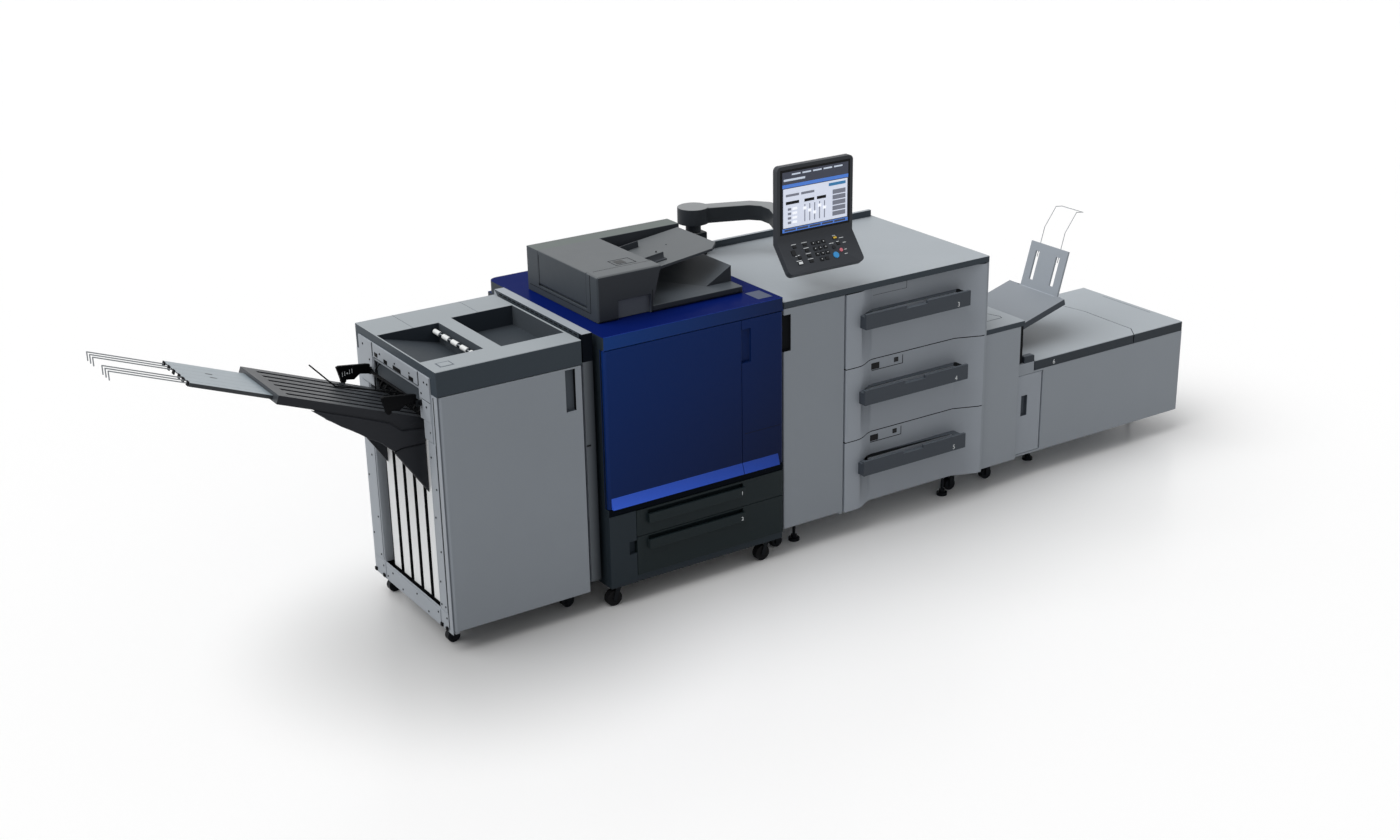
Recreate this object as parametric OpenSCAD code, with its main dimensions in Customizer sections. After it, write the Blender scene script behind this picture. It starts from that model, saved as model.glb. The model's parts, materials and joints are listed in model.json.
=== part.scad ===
// Digital production printer: a line of docked cabinets that feed, print and stack sheets.
// Left to right: stacking finisher, slim relay, print engine with its document feeder,
// paper feed cabinet with a swing-arm panel, transfer tower with a bypass tray and a large paper magazine.
// X runs along the line, the fronts face -Y and Z is up. Sizes are in millimetres.

/* [Sheet metal and fits] */
// Wall of the cabinet shells
sheet = 4; // [2:0.5:6]
// Wall of the plastic covers
skin = 3; // [2:0.5:5]
// Gap between pieces that slide on each other
slide_gap = 0.3; // [0.2:0.05:0.6]
// Gap between a door and the frame behind it
door_gap = 2; // [1:0.5:4]
// Radial clearance of a pin or shaft in its bore
pin_fit = 0.05; // [0.02:0.01:0.1]
// Radius of the door hinge pins
pin_r = 4; // [3:0.5:6]
// Length of a hinge pin beyond the door
pin_len = 8; // [6:1:12]
// Thickness of the front doors
door_t = 24; // [18:1:30]
// Solid rim round a door's hollow back
door_rim = 22; // [14:1:40]

/* [Engine] */
// Width of the engine
eng_w = 760; // [700:1:820]
// Depth of the engine
eng_d = 848; // [780:1:900]
// Height of the engine's top cover above the floor
eng_h = 1040; // [1000:1:1080]
// Underside of the engine's base
eng_base_z = 84; // [70:1:100]
// Height of the top cover's front band
eng_band_h = 49; // [40:1:60]
// Bottom of the engine doors
eng_door_z = 396; // [380:1:420]
// Height of the bright ledge along the door bottoms
ledge_h = 41; // [30:1:60]
// How far the ledge stands out
ledge_out = 13; // [6:1:15]
// Place of the seam between the two engine doors
eng_seam_x = 575; // [540:1:600]
// Width of the black column left of the engine trays
column_w = 112; // [90:1:140]
// Top of the engine tray block
tray_top_z = 366; // [350:1:375]
// Height of the seam between engine trays 1 and 2
tray_seam_z = 262; // [240:1:280]

/* [Document feeder] */
// Left side of the feeder on the engine
adf_x = 64; // [40:1:100]
// Front of the feeder
adf_y = 132; // [100:1:160]
// Overall width of the feeder
adf_w = 612; // [560:1:640]
// Depth of the feeder
adf_d = 508; // [460:1:540]
// Top of the feeder above the floor
adf_top_z = 1210; // [1180:1:1230]
// Width of the raised feed box at the feeder's left
adf_box_w = 262; // [220:1:300]
// Thickness of the feeder's base
adf_base_h = 24; // [18:1:32]
// Tilt of the document tray
doc_tilt = 7; // [4:0.5:12]

/* [Finisher] */
// Width of the finisher
fin_w = 551; // [500:1:600]
// Depth of the finisher
fin_d = 636; // [600:1:680]
// Height of the finisher above the floor
fin_h = 1041; // [1000:1:1060]
// Front of the finisher behind the engine front
fin_y = 24; // [15:1:40]
// Underside of the finisher
fin_z = 78; // [65:1:95]
// Height of the finisher's dark top cover
fin_top_h = 89; // [75:1:105]

/* [Output tray] */
// Slope of the output tray
tray_slope = 21; // [16:0.5:26]
// Length of the main output tray along its slope
out_len = 530; // [460:1:580]
// Width of the main output tray
out_w = 340; // [320:1:360]
// Thickness of the main output tray
out_t = 30; // [26:1:36]
// Height of the output tray's inner edge above the floor
out_z = 834; // [800:1:860]
// Length of the extension that shows
ext_len = 281; // [220:1:300]
// Width of the extension
ext_w = 256; // [220:1:280]
// Length of the wires beyond the extension
wire_len = 254; // [200:1:280]
// Diameter of the tray wires
wire_d = 4; // [3:0.5:5]

/* [Relay] */
// Width of the relay unit
relay_w = 39; // [30:1:60]
// Depth of the relay unit
relay_d = 639; // [600:1:680]
// Height of the relay unit above the floor
relay_h = 1054; // [1030:1:1070]
// Front of the relay unit behind the engine front
relay_y = 38; // [25:1:50]
// Gap between the relay and the engine
relay_gap = 20; // [16:1:30]
// Gap between the finisher and the relay
fin_gap = 10; // [4:1:20]

/* [Paper feed cabinet] */
// Width of the feed cabinet
feed_w = 988; // [900:1:1060]
// Depth of the feed cabinet
feed_d = 743; // [700:1:800]
// Front of the feed cabinet behind the engine front
feed_y = 7; // [4:1:20]
// Underside of the feed cabinet
feed_z = 105; // [90:1:120]
// Underside of the feed cabinet's top plate
feed_top_z = 993; // [960:1:1020]
// Thickness of the feed cabinet's top plate
feed_top_t = 25; // [18:1:35]
// Width of the tall feed door
feed_door_w = 285; // [260:1:320]
// Height of the seam between drawers 3 and 4
seam_34_z = 695; // [660:1:730]
// Height of the seam between drawers 4 and 5
seam_45_z = 398; // [370:1:430]
// How far a drawer handle stands out in front of the engine front
grip_out = 30; // [20:1:40]

/* [Arm and panel] */
// Underside of the swing arm
arm_z = 1150; // [1120:1:1180]
// Thickness of the swing arm
arm_t = 62; // [50:1:75]
// Width of the swing arm
arm_w = 64; // [50:1:80]
// Width of the operation panel
panel_w = 342; // [320:1:400]
// Bottom of the screen part
screen_z = 1222; // [1200:1:1240]
// Height of the screen part
screen_h = 281; // [240:1:320]
// Front of the screen behind the engine front
screen_y = 60; // [40:1:100]
// Slope of the keypad from upright
key_tilt = 39; // [25:1:55]
// Length of the keypad along its slope
key_len = 128; // [110:1:150]

/* [Tower and bypass] */
// Width of the transfer tower's body
tower_w = 196; // [180:1:220]
// Depth of the tower
tower_d = 640; // [600:1:700]
// Height of the tower above the floor
tower_h = 706; // [680:1:730]
// Front of the tower behind the engine front
tower_y = 22; // [15:1:40]
// Slope of the bypass tray
bypass_slope = 15.5; // [8:0.5:25]
// Length of the bypass tray along its slope
bypass_len = 334; // [300:1:360]
// Width of the bypass tray
bypass_w = 336; // [310:1:360]
// Height of the bypass extension along its slope
flap_len = 200; // [180:1:240]
// Width of the bypass extension
flap_w = 222; // [200:1:260]
// Lean of the bypass extension from upright
flap_lean = 16; // [5:1:30]

/* [Large paper magazine] */
// Width of the magazine
lu_w = 955; // [900:1:1000]
// Depth of the magazine
lu_d = 598; // [560:1:640]
// Height of the magazine above the floor
lu_h = 512; // [480:1:540]
// Front of the magazine behind the engine front
lu_y = 38; // [25:1:50]
// Underside of the magazine
lu_z = 107; // [90:1:120]
// Thickness of the lids
lid_t = 42; // [30:1:50]
// Width of the narrow door
lu_door_w = 146; // [120:1:170]
// Place of the split between the lids, from the magazine's left
lid_split = 690; // [600:1:720]

/* [Hidden] */
$fn = 48;
// Overrun of every cut
cut = 5;
// Gap between neighbouring covers
seam = 1;

// Places along the line
relay_x = -relay_gap - relay_w;
fin_x1 = relay_x - fin_gap;
fin_x = fin_x1 - fin_w;
feed_gap = 7;
feed_x = eng_w + feed_gap;
feed_x1 = feed_x + feed_w;
dock_gap = 1;
dock_pad_h = 40;
tower_x = feed_x1 + dock_gap;
tower_x1 = tower_x + tower_w;
lu_x = tower_x1 + dock_gap;
lu_x1 = lu_x + lu_w;

// Finisher values
fin_y1 = fin_y + fin_d;
fin_body_z1 = fin_h - fin_top_h;
fin_open_y = fin_y + door_t + door_gap;
end_t = 3;
end_col_y1 = 112;
end_col_y2 = 560;
end_low_z = 150;
end_high_z = 846;
end_top_z = 1010;
end_top_y = 66;
end_top_y1 = 628;
throat_y = 152;
throat_y1 = 512;
throat_top_z = 958;
throat_rim = 6;
chute_t = 3;
chute_z = 896;
wall_rise = 40;
slat_face_in = 17;
slat_face_x = fin_x + slat_face_in;
slat_t = 15;
slat_n = 5;
slat_w = 56;
slat_gap = 25;
slat_y = 140;
slat_z1 = 800;
fin_door_edge = 6;
fin_door_w = fin_w - 2 * fin_door_edge;
fin_door_rise = 10;
fin_door_z = fin_z + fin_door_rise;
fin_door_z1 = fin_body_z1 - door_gap;
pull_w = 39;
pull_h = 152;
pull_deep = 16;
pull_edge = 24;
fin_pull_z = 792;
lug = 16;
relay_way_z = 905;
relay_z = 118;
pocket_1_in = 6;
pocket_1_w = 234;
pocket_1_x = fin_x + pocket_1_in;
pocket_1_x1 = pocket_1_x + pocket_1_w;
pocket_1_y = 145;
pocket_1_y1 = 485;
pocket_1_rise = 62;
pocket_2_in = [300, 8];
pocket_2_x = fin_x + pocket_2_in[0];
pocket_2_x1 = fin_x1 - pocket_2_in[1];
pocket_2_y = 130;
pocket_2_y1 = 507;
pocket_deep = 74;
roller_r = 9;
shaft_r = 4;
roller_n = 5;
roller_len = 44;
pocket_roller_in = [20, 26];
pocket_roller_x = pocket_1_x1 - pocket_roller_in[0];
pocket_roller_z = fin_h - pocket_roller_in[1];
exit_in = 46;
exit_x = fin_x + exit_in;
exit_z = 872;
exit_ear_t = 8;
exit_y = 122;
exit_y1 = 550;
exit_r = 14;

// Output tray values
out_x = slat_face_x - slide_gap;
out_y = 172;
out_floor = 4;
out_slot_h = 14;
ext_t = 13;
ext_skin = 4;
ext_hidden = 190;
ext_travel = 240;
ext_y = out_y + (out_w - ext_w) / 2;
rib_n = 6;
rib_edge = 34;
rib_groove = 17;
rib_deep = 8;
rib_start = 44;
bracket_t = 8;
bracket_z = 560;
bracket_len = 399;
bracket_h = 404;
bracket_share = [[0, 0], [0.273, 0.401], [0.301, 0.475], [0.617, 0.686], [0.86, 0.854], [1, 1]];
bracket_edge = [for (p = bracket_share) [out_x - p[0] * bracket_len, bracket_z + p[1] * bracket_h]];
wire_in = 40;
wire_tip = 30;
wire_r = wire_d / 2;
wire_group = 78;
wire_pitch = 31;
arm_pivot_out = 16;
arm_pivot_x = fin_x - arm_pivot_out;
arm_pivot_z = 905;
arm_pivot_r = 5;
lever_t = 12;
lever_y = [146, 514];
lever_len = 125;
lever_share = [[0, 0.21], [0.11, 0.24], [0.92, 0.344], [1, 0.32], [0.952, 0.152], [0.896, -0.064],
  [0.504, -0.128], [0.32, 0], [0.02, -0.06]];
knob_share = [0.816, -0.096];
paper_ear_y = [130, 528];
feeler_y = 250;
feeler_r = 2.5;
feeler_len_1 = 252;
feeler_len_2 = 123;
feeler_turn_1 = 18;
feeler_turn_2 = 30;

// Engine values
eng_cover_t = 3;
eng_frame_y = door_t + door_gap;
eng_top_z = eng_h - eng_band_h;
eng_door_top_z = eng_top_z - 3 * seam;
eng_corner = 40;
eng_lip_h = 26;
inner_y = 46;
eng_pull_w = 40;
eng_pull_h = 128;
eng_pull_z = 825;
tray_x1 = eng_w - 3 * seam;
tray_x = column_w + seam;
tray_front_t = 24;
plinth_z = 110;
column_pull_z = 200;
column_pull_h = 50;
eng_hinge_in = door_t / 2;
grip_x = 158;
grip_w = 420;
grip_h = 36;
grip_1_z = 309;
grip_2_z = 207;
engine_grip_out = 14;
pocket_h = 24;
tub_wall = 3;
tub_side = 14;
tub_d = 720;
drum_r = 30;
drum_n = 4;
drum_pitch = 118;
drum_x = 170;
drum_z = 600;
drum_len = 700;
belt_r = 28;
belt_t = 2;
belt_x1 = 560;
belt_z = 662;
fuser_x = 672;
fuser_z = 700;
fuser_r = 26;
press_r = 24;
press_z = fuser_z - fuser_r - press_r - slide_gap;
bottle_r = 44;
bottle_len = 330;
bottle_z = 860;
glass_x = 110;
glass_w = 510;
glass_lap = 10;
glass_y = 180;
glass_d = 330;
glass_t = 4;
scan_z = 1002;
carriage_w = 60;
carriage_h = 22;

// Feeder values
adf_seat = 1;
adf_hinge_out = 16;
adf_hinge_rise = 12;
doc_pin_in = 14;
adf_y1 = adf_y + adf_d;
adf_z = eng_h + adf_seat;
adf_base_z1 = adf_z + adf_base_h;
adf_x1 = adf_x + adf_w;
adf_front_t = 79;
front_slant = 40;
front_solid = 36;
front_wall = 19;
adf_grip_x = 146;
adf_grip_x1 = 280;
adf_grip_z = 1110;
adf_back_t = 82;
adf_box_x1 = adf_x + adf_box_w;
cover_gap = 1;
plinth_h = 34;
cover_z = adf_z + plinth_h + cover_gap;
cover_y = adf_y + adf_front_t + cover_gap;
cover_y1 = adf_y1 - adf_back_t - cover_gap;
cover_pin_in = 14;
cover_pin_x = adf_x + cover_pin_in;
cover_pin_z = cover_z + cover_pin_in;
cover_shell = 8;
wedge_x = 566;
wedge_top_z = 1126;
wedge_y = 210;
doc_pin_x = adf_box_x1 + doc_pin_in;
doc_z = 1160;
doc_len = 322;
doc_w = 300;
doc_t = 10;
doc_pin_z = doc_z - doc_t / 2;
doc_y = 240;
doc_chamfer = 46;
doc_pin_r = 4;
guide_h = 24;
guide_len = 90;
guide_t = 4;
guide_foot = 24;
guide_y = 300;
adf_knuckle_r = 9;
adf_hinge_y = adf_y1 + adf_hinge_out;
adf_hinge_z = eng_h + adf_hinge_rise;
adf_hinges = [140, 560];

// Feed cabinet values
feed_y1 = feed_y + feed_d;
feed_open_in = 52;
feed_open_y = feed_y + feed_open_in;
feed_div_x = feed_x + feed_door_w + seam;
feed_overhang = 1;
kerb_t = 16;
kerb_h = 28;
kerb_in = 123;
kerb_x = feed_x + kerb_in;
kerb_end = 12;
drawer_x = feed_div_x + 2 * seam;
edge_strip = 10;
drawer_x1 = feed_x1 - edge_strip - seam;
face_gap = 2;
face_flat = 53;
face_curve = 104;
face_deep = 40;
curve_share = [[0, 0], [0.2, 0.06], [0.4, 0.26], [0.6, 0.56], [0.8, 0.86], [1, 1]];
face_back_1 = 122;
face_back_2 = 17;
face_inner_y = feed_open_y - face_gap;
bar_in = 65;
bar_x = drawer_x + bar_in;
bar_w = 512;
bar_h = 49;
bar_t = 30;
bar_lip = 12;
bar_cut_x = 194;
bar_cut_w = 102;
finger_w = 440;
finger_deep = 24;
bar_under = 150;
drawer_tub_d = 640;
drawer_tub_side = 16;
feed_pull_z = 827;
feed_pull_h = 140;
feed_pull_w = 32;

// Front of a feed drawer in plan: it swells at both ends and is hollow in the middle
front_outline = concat([[drawer_x, face_inner_y], [drawer_x, feed_y - face_gap]],
  [for (p = curve_share) [drawer_x + face_flat + p[0] * face_curve, feed_y - face_gap + p[1] * face_deep]],
  [[drawer_x1 - face_back_1, feed_y - face_gap + face_deep],
  [drawer_x1 - face_back_2, feed_y - face_gap], [drawer_x1, feed_y - face_gap], [drawer_x1, face_inner_y]]);

// Arm and panel values
post_in = 28;
post_x = feed_x + post_in;
post_w = 88;
post_d = 66;
post_edge = 8;
post_y = feed_y1 - post_d - post_edge;
pivot_x = post_x + post_w / 2;
pivot_y = post_y + post_d / 2;
post_top_z = 1112;
arm_haunch = arm_z - post_top_z;
arm_path_share = [[0, 0], [0.159, -0.06], [0.278, -0.107], [0.333, -0.176], [0.330, -0.275]];
arm_reach = 760;
spigot_r = 14;
spigot_len = 30;
ear_t = 12;
ear_root_y = 46;
panel_in = 9;
panel_x = feed_x + panel_in;
panel_t = 26;
panel_r = 18;
hub_r = 17;
hub_w = 90;
hub_pin_r = 6;
hub_z = arm_z + arm_t / 2;
hub_behind = 66;
hub_y = screen_y + hub_behind;
hub_stem = 7;
hub_x = panel_x + panel_w / 2;
bezel = 14;
bezel_low = 28;
screen_t = 4;
key_h = 7;
key_pocket = 4;
key_travel = 2;
key_gap = 0.4;
round_keys = [[226, 86, 12], [256, 71, 7], [230, 55, 7]];
flat_keys = concat([for (u = [150, 173, 196], v = [24, 46, 68]) [u, v, 15, 12]],
  [for (v = [23, 45, 67, 89]) [113, v, 16, 9]],
  [[160, 90, 15, 12], [183, 90, 15, 12], [66, 24, 14, 8], [52, 46, 16, 20], [70, 68, 14, 10],
  [64, 89, 18, 10],
  [256, 44, 14, 9], [250, 20, 16, 8]]);

// Tower and bypass values
tower_top_t = 23;
tower_over = 22;
spine_w = 36;
spine_z = lu_h + seam;
spine_y = 46;
throat_h = 20;
bypass_t = 26;
bypass_y = 162;
bypass_x = tower_x1 + spine_w + bypass_t / 2 + seam;
bypass_z = 590;
bypass_pin_r = 4;
bypass_ear = 12;
flap_y = bypass_y + (bypass_w - flap_w) / 2;
flap_ear_t = 12;
flap_ear_r = 8;
flap_pivot_out = 9;
flap_relief = [6.5, 11.5];
flap_pivot_x = bypass_len + flap_pivot_out;
flap_pivot_z = -flap_ear_r / 2;
flap_wire_in = 50;
flap_wire_y = [flap_y + flap_wire_in, flap_y + flap_w - flap_wire_in];
flap_t = 9;
flap_slot_w = 22;
flap_slot_low = 40;
flap_rib = 36;
loop_r = 1.5;
loop_in = 60;
loop_len_1 = 70;
loop_len_2 = 99;
loop_turn_1 = 21;
loop_turn_2 = 60;
loop_hook = 35;
loop_thin = 0.98;
loop_thick = 1.04;
flap_pin_r = 3;

// Magazine values
lu_y1 = lu_y + lu_d;
lu_body_z1 = lu_h - lid_t;
lid_in = 98;
lid_x = lu_x + lid_in;
lid_gap = 3;
lid_split_x = lu_x + lid_split;
lid_pin_r = 4;
lid_pin_in = 16;
lid_axis_y = lu_y1 - lid_pin_in;
lid_axis_z = lu_body_z1 + lid_pin_in;
lid_ear_r = 9;
lid_ear_t = 8;
lid_ear_in = 60;
left_ears = [lid_x + lid_ear_in, lid_split_x - 2 * lid_ear_in - lid_ear_t];
right_ears = [lid_split_x + lid_ear_in, lu_x1 - lid_ear_in];
split_clear = 45;
split_swing = 31;
split_share = [[-1, 0], [0.45, 0.1], [0.58, 0.373], [0.71, 0.579], [0.065, 0.769], [0, 1]];
split_line = [for (p = split_share) [lid_split_x + p[0] * split_swing, lu_y + p[1] * lu_d]];
lu_pull_w = 33;
lu_pull_h = 89;
lu_pull_z = 283;
bin_in = 190;
bin_edge = 40;
bin_side = 60;
bin_x = lu_x + bin_in;
bin_x1 = lu_x1 - bin_edge;
bin_y = lu_y + bin_side;
bin_y1 = lu_y1 - bin_side;
lift_z = 160;
lift_t = 5;
guide_rail = 10;

// Floor gear values
foot_r = 22;
foot_h = 12;
stud_r = 6;
wheel_r = 30;
wheel_w = 26;
wheel_lift = 0.6;
fork_t = 4;
fork_in = 1;
fork_trail = 24;
axle_r = 4;
stem_r = 8;
stem_len = 10;
hood_t = 6;
small_wheel_r = 24;
caster_in = [28, 42];
caster_right_in = 77;
caster_left = caster_in;
caster_right = [eng_w - caster_right_in, caster_in[1]];
gear_in = 60;
gear_front = 100;
fin_gear = [46, 108];
lu_foot_in = [219, 143];
fixed_casters = concat(
  [for (x = [gear_in, eng_w - gear_in]) [x, eng_d - gear_in, eng_base_z]],
  [for (x = [fin_x + fin_gear[0], fin_x1 - fin_gear[0]], y = [fin_y + fin_gear[1], fin_y1 - fin_gear[0]])
    [x, y, fin_z]],
  [[feed_x1 - gear_in, feed_y + gear_front + gear_in / 2, feed_z],
  [feed_x + gear_in / 2, feed_y + gear_front, feed_z],
  [tower_x1 - gear_in, lu_y + gear_front, lu_z]]);
feet = concat(
  [for (x = [feed_x + 2 * gear_in, feed_x1 - 2 * gear_in]) [x, feed_y + gear_front, feed_z]],
  [for (x = [feed_x + gear_in, feed_x1 - gear_in]) [x, feed_y1 - gear_in, feed_z]],
  [[tower_x + gear_in, lu_y1 - gear_in, lu_z], [lu_x + lu_foot_in[0], lu_y + lu_foot_in[1], lu_z],
  [lu_x1 - gear_in, lu_y + lu_foot_in[0], lu_z]],
  [for (x = [lu_x + lu_foot_in[0], lu_x1 - gear_in]) [x, lu_y1 - gear_in, lu_z]]);

// Centre of the line, so that the part's origin is the middle of its footprint
line_x0 = out_x - (out_len + ext_len + wire_len) * cos(tray_slope) - wire_tip * sin(tray_slope);
mid_x = (line_x0 + lu_x1) / 2;
mid_y = (eng_d - grip_out) / 2;

// Drawn in the line's own places and then moved to the middle
module placed() {
  translate([-mid_x, -mid_y, 0]) children();
}

// Box between two corners
module span(a, b) {
  translate(a) cube(b - a);
}

// Bar along Y between two depths
module rod_y(x, z, r, y0, y1) {
  translate([x, y0, z]) rotate([-90, 0, 0]) cylinder(r = r, h = y1 - y0);
}

// Bar along X between two places
module rod_x(y, z, r, x0, x1) {
  translate([x0, y, z]) rotate([0, 90, 0]) cylinder(r = r, h = x1 - x0);
}

// Outline in the XZ plane drawn out along Y
module profile_y(y0, y1) {
  translate([0, y1, 0]) rotate([90, 0, 0]) linear_extrude(height = y1 - y0) children();
}

// Outline in the YZ plane drawn out along X
module profile_x(x0, x1) {
  translate([x0, 0, 0]) rotate([90, 0, 90]) linear_extrude(height = x1 - x0) children();
}

// Door hinged on a Z axis at the origin; it reaches w to +X and its front faces -Y
module door_leaf(w, h) {
  half = door_t / 2;
  difference() {
    union() {
      cylinder(r = half, h = h);
      translate([0, -half, 0]) cube([w - half, door_t, h]);
      translate([0, 0, -pin_len]) cylinder(r = pin_r, h = h + 2 * pin_len);
    }
    span([half, skin - half, door_rim], [w - half - door_rim, half + cut, h - door_rim]);
  }
}

// Door with a finger pull sunk into its front; over lets the pull run out at the free edge
module pulled_door(w, h, x, z, pw, ph, over) {
  difference() {
    union() {
      door_leaf(w, h);
      span([x - skin, -door_t / 2, z - skin],
        [min(x + pw + skin, w - door_t / 2), pull_deep + skin - door_t / 2, z + ph + skin]);
    }
    translate([x, -door_t / 2 - cut, z]) cube([pw + over, pull_deep + cut, ph]);
  }
}

// Roller with white tyres on a shaft along Y
module tyre_roller(x, z, r, y0, y1, n, len) {
  rod_y(x, z, shaft_r, y0, y1);
  pitch = (y1 - y0) / n;
  for (i = [0:n - 1])
    rod_y(x, z, r, y0 + (i + seam / 2) * pitch - len / 2, y0 + (i + seam / 2) * pitch + len / 2);
}

module finisher_frame() placed() color("#5b626b") {
  back_x = slat_face_x + slat_t;
  hinge_x = fin_x + fin_door_edge + door_t / 2;
  hinge_y = fin_y + door_t / 2;
  difference() {
    span([fin_x + end_t, fin_open_y, fin_z], [fin_x1, fin_y1, fin_body_z1]);
    span([fin_x - cut, fin_open_y - cut, fin_z + sheet],
      [fin_x1 - sheet, fin_y1 - sheet, fin_body_z1 + cut]);
  }
  // Wall behind the stack, with a return along the sheet path
  span([back_x, end_col_y1, fin_z], [back_x + sheet, fin_y1, slat_z1 + wall_rise]);
  // Bearing brackets of the exit roller
  for (y = [exit_y - exit_ear_t, exit_y1])
    difference() {
      span([back_x, y, slat_z1 + wall_rise - cut],
        [exit_x + 2 * exit_r, y + exit_ear_t, exit_z + 2 * exit_r]);
      rod_y(exit_x, exit_z, shaft_r + pin_fit, y - cut, y + exit_ear_t + cut);
    }
  // Lower hinge lug of the door
  difference() {
    span([hinge_x - lug / 2, hinge_y - lug / 2, fin_z],
      [hinge_x + lug / 2, fin_open_y + lug, fin_door_z - door_gap]);
    translate([hinge_x, hinge_y, fin_z - cut])
      cylinder(r = pin_r + pin_fit, h = pin_len + 2 * cut);
  }
}

module finisher_top() placed() color("#a6acb1") {
  floor_z = fin_h - pocket_deep;
  hinge_x = fin_x + fin_door_edge + door_t / 2;
  difference() {
    union() {
      difference() {
        span([fin_x, fin_y, fin_body_z1], [fin_x1, fin_y1, fin_h]);
        span([fin_x + skin, fin_open_y, fin_body_z1 - cut],
          [fin_x1 - skin, fin_y1 - skin, fin_h - skin]);
      }
      span([fin_x, pocket_1_y - skin, floor_z - skin],
        [pocket_1_x1 + skin, pocket_1_y1 + skin, fin_h - skin]);
      span([pocket_2_x - skin, pocket_2_y - skin, floor_z - skin],
        [pocket_2_x1 + skin, pocket_2_y1 + skin, fin_h - skin]);
    }
    // Upper tray: its floor climbs to the left edge
    profile_y(pocket_1_y, pocket_1_y1)
      polygon([[pocket_1_x1, floor_z], [pocket_1_x1, fin_h + cut], [pocket_1_x, fin_h + cut],
        [pocket_1_x, floor_z + pocket_1_rise]]);
    span([pocket_2_x, pocket_2_y, floor_z], [pocket_2_x1, pocket_2_y1, fin_h + cut]);
    rod_y(pocket_roller_x, pocket_roller_z, shaft_r + pin_fit, pocket_1_y - skin - cut,
      pocket_1_y1 + skin + cut);
    translate([hinge_x, fin_y + door_t / 2, fin_body_z1 - cut])
      cylinder(r = pin_r + pin_fit, h = pin_len + 2 * cut);
  }
}

module finisher_door() placed() color("#71787f")
  translate([fin_x + fin_door_edge + door_t / 2, fin_y + door_t / 2, fin_door_z])
    pulled_door(fin_door_w, fin_door_z1 - fin_door_z, fin_door_w - door_t / 2 - pull_edge - pull_w,
      fin_pull_z - fin_door_z, pull_w, pull_h, 0);

module finisher_end_plate() placed() color("#b9bfc4") {
  in_x = fin_x + end_t;
  rim_z = fin_body_z1 - throat_rim;
  difference() {
    union() {
      span([fin_x, fin_y + skin, fin_z], [in_x, fin_y1, fin_body_z1]);
      // Upper part, laid over the side of the top cover
      span([fin_x - end_t, end_top_y, end_high_z], [fin_x, end_top_y1, end_top_z]);
      // Folded edges beside the stack window
      for (y = [end_col_y1 - end_t, end_col_y2])
        span([fin_x, y, end_low_z], [slat_face_x + slat_t, y + end_t, end_high_z]);
    }
    span([fin_x - cut, end_col_y1, end_low_z], [in_x + cut, end_col_y2, end_high_z]);
    // Throat above the tray
    span([fin_x - cut, throat_y, end_high_z - cut], [in_x + cut, throat_y1, rim_z]);
    span([fin_x - end_t - cut, throat_y, end_high_z - cut], [fin_x, throat_y1, throat_top_z]);
  }
  // Guide that slopes in from the top of the throat to the exit roller
  profile_y(throat_y + seam, throat_y1 - seam)
    polygon([[in_x - seam, fin_body_z1 - seam], [in_x - seam, fin_body_z1 - seam - chute_t],
      [exit_x - seam, chute_z], [exit_x - seam + chute_t, chute_z]]);
  // Bearing ears of the paper arms
  for (y = paper_ear_y)
    difference() {
      span([arm_pivot_x - 2 * arm_pivot_r, y, arm_pivot_z - 2 * arm_pivot_r],
        [fin_x - end_t, y + exit_ear_t, arm_pivot_z + 2 * arm_pivot_r]);
      rod_y(arm_pivot_x, arm_pivot_z, arm_pivot_r + pin_fit, y - cut, y + exit_ear_t + cut);
    }
}

module stack_slats() placed() color("#e9ecec")
  for (i = [0:slat_n - 1])
    span([slat_face_x, slat_y + i * (slat_w + slat_gap), end_low_z],
      [slat_face_x + slat_t, slat_y + i * (slat_w + slat_gap) + slat_w, slat_z1]);

module exit_roller() placed() color("#2a2c2f")
  tyre_roller(exit_x, exit_z, exit_r, exit_y - exit_ear_t, exit_y1 + exit_ear_t, roller_n, roller_len);

module pocket_roller() placed() color("#eceeee")
  tyre_roller(pocket_roller_x, pocket_roller_z, roller_r, pocket_1_y - skin, pocket_1_y1 + skin,
    roller_n, roller_len);

// Frame of the sloping tray: -X climbs outwards and Z is square to its surface
module tray_frame() {
  translate([out_x, 0, out_z]) rotate([0, tray_slope, 0]) children();
}

module output_tray() placed() color("#35373b") {
  slot_y = ext_y - slide_gap;
  difference() {
    union() {
      difference() {
        tray_frame() difference() {
          span([-out_len, out_y, -out_t], [out_t, out_y + out_w, 0]);
          // Grooves between the ribs
          for (i = [0:rib_n - 1])
            translate([0, out_y + rib_edge + i * (out_w - 2 * rib_edge - rib_groove) / (rib_n - 1), 0])
              span([rib_start - out_len, 0, -rib_deep], [out_t + cut, rib_groove, cut]);
        }
        span([out_x - seam, out_y - cut, 0], [out_x + out_len, out_y + out_w + cut, out_z + out_len]);
      }
      // Cross wing below the tray
      profile_y(out_y + 2 * seam, out_y + out_w - 2 * seam)
        polygon([bracket_edge[3] + [0, seam], bracket_edge[4] + [0, seam], bracket_edge[5] + [seam, seam],
          bracket_edge[5] + [seam, 2 * out_floor], bracket_edge[4] + [0, 2 * out_floor],
          bracket_edge[3] + [0, 2 * out_floor]]);
    }
    // Slot for the extension
    tray_frame() span([-out_len - cut, slot_y, out_floor - out_t],
      [-out_len + ext_hidden + ext_travel + cut, slot_y + ext_w + 2 * slide_gap,
      out_floor + out_slot_h - out_t]);
  }
  // Side brackets that carry the tray on its lift
  for (y = [out_y + seam, out_y + out_w - bracket_t - seam])
    profile_y(y, y + bracket_t)
      polygon(concat([[out_x, out_z - out_t / 2]], bracket_edge,
        [[out_x - bracket_len, out_z + bracket_len * tan(tray_slope) - out_t / 2]]));
}

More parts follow.
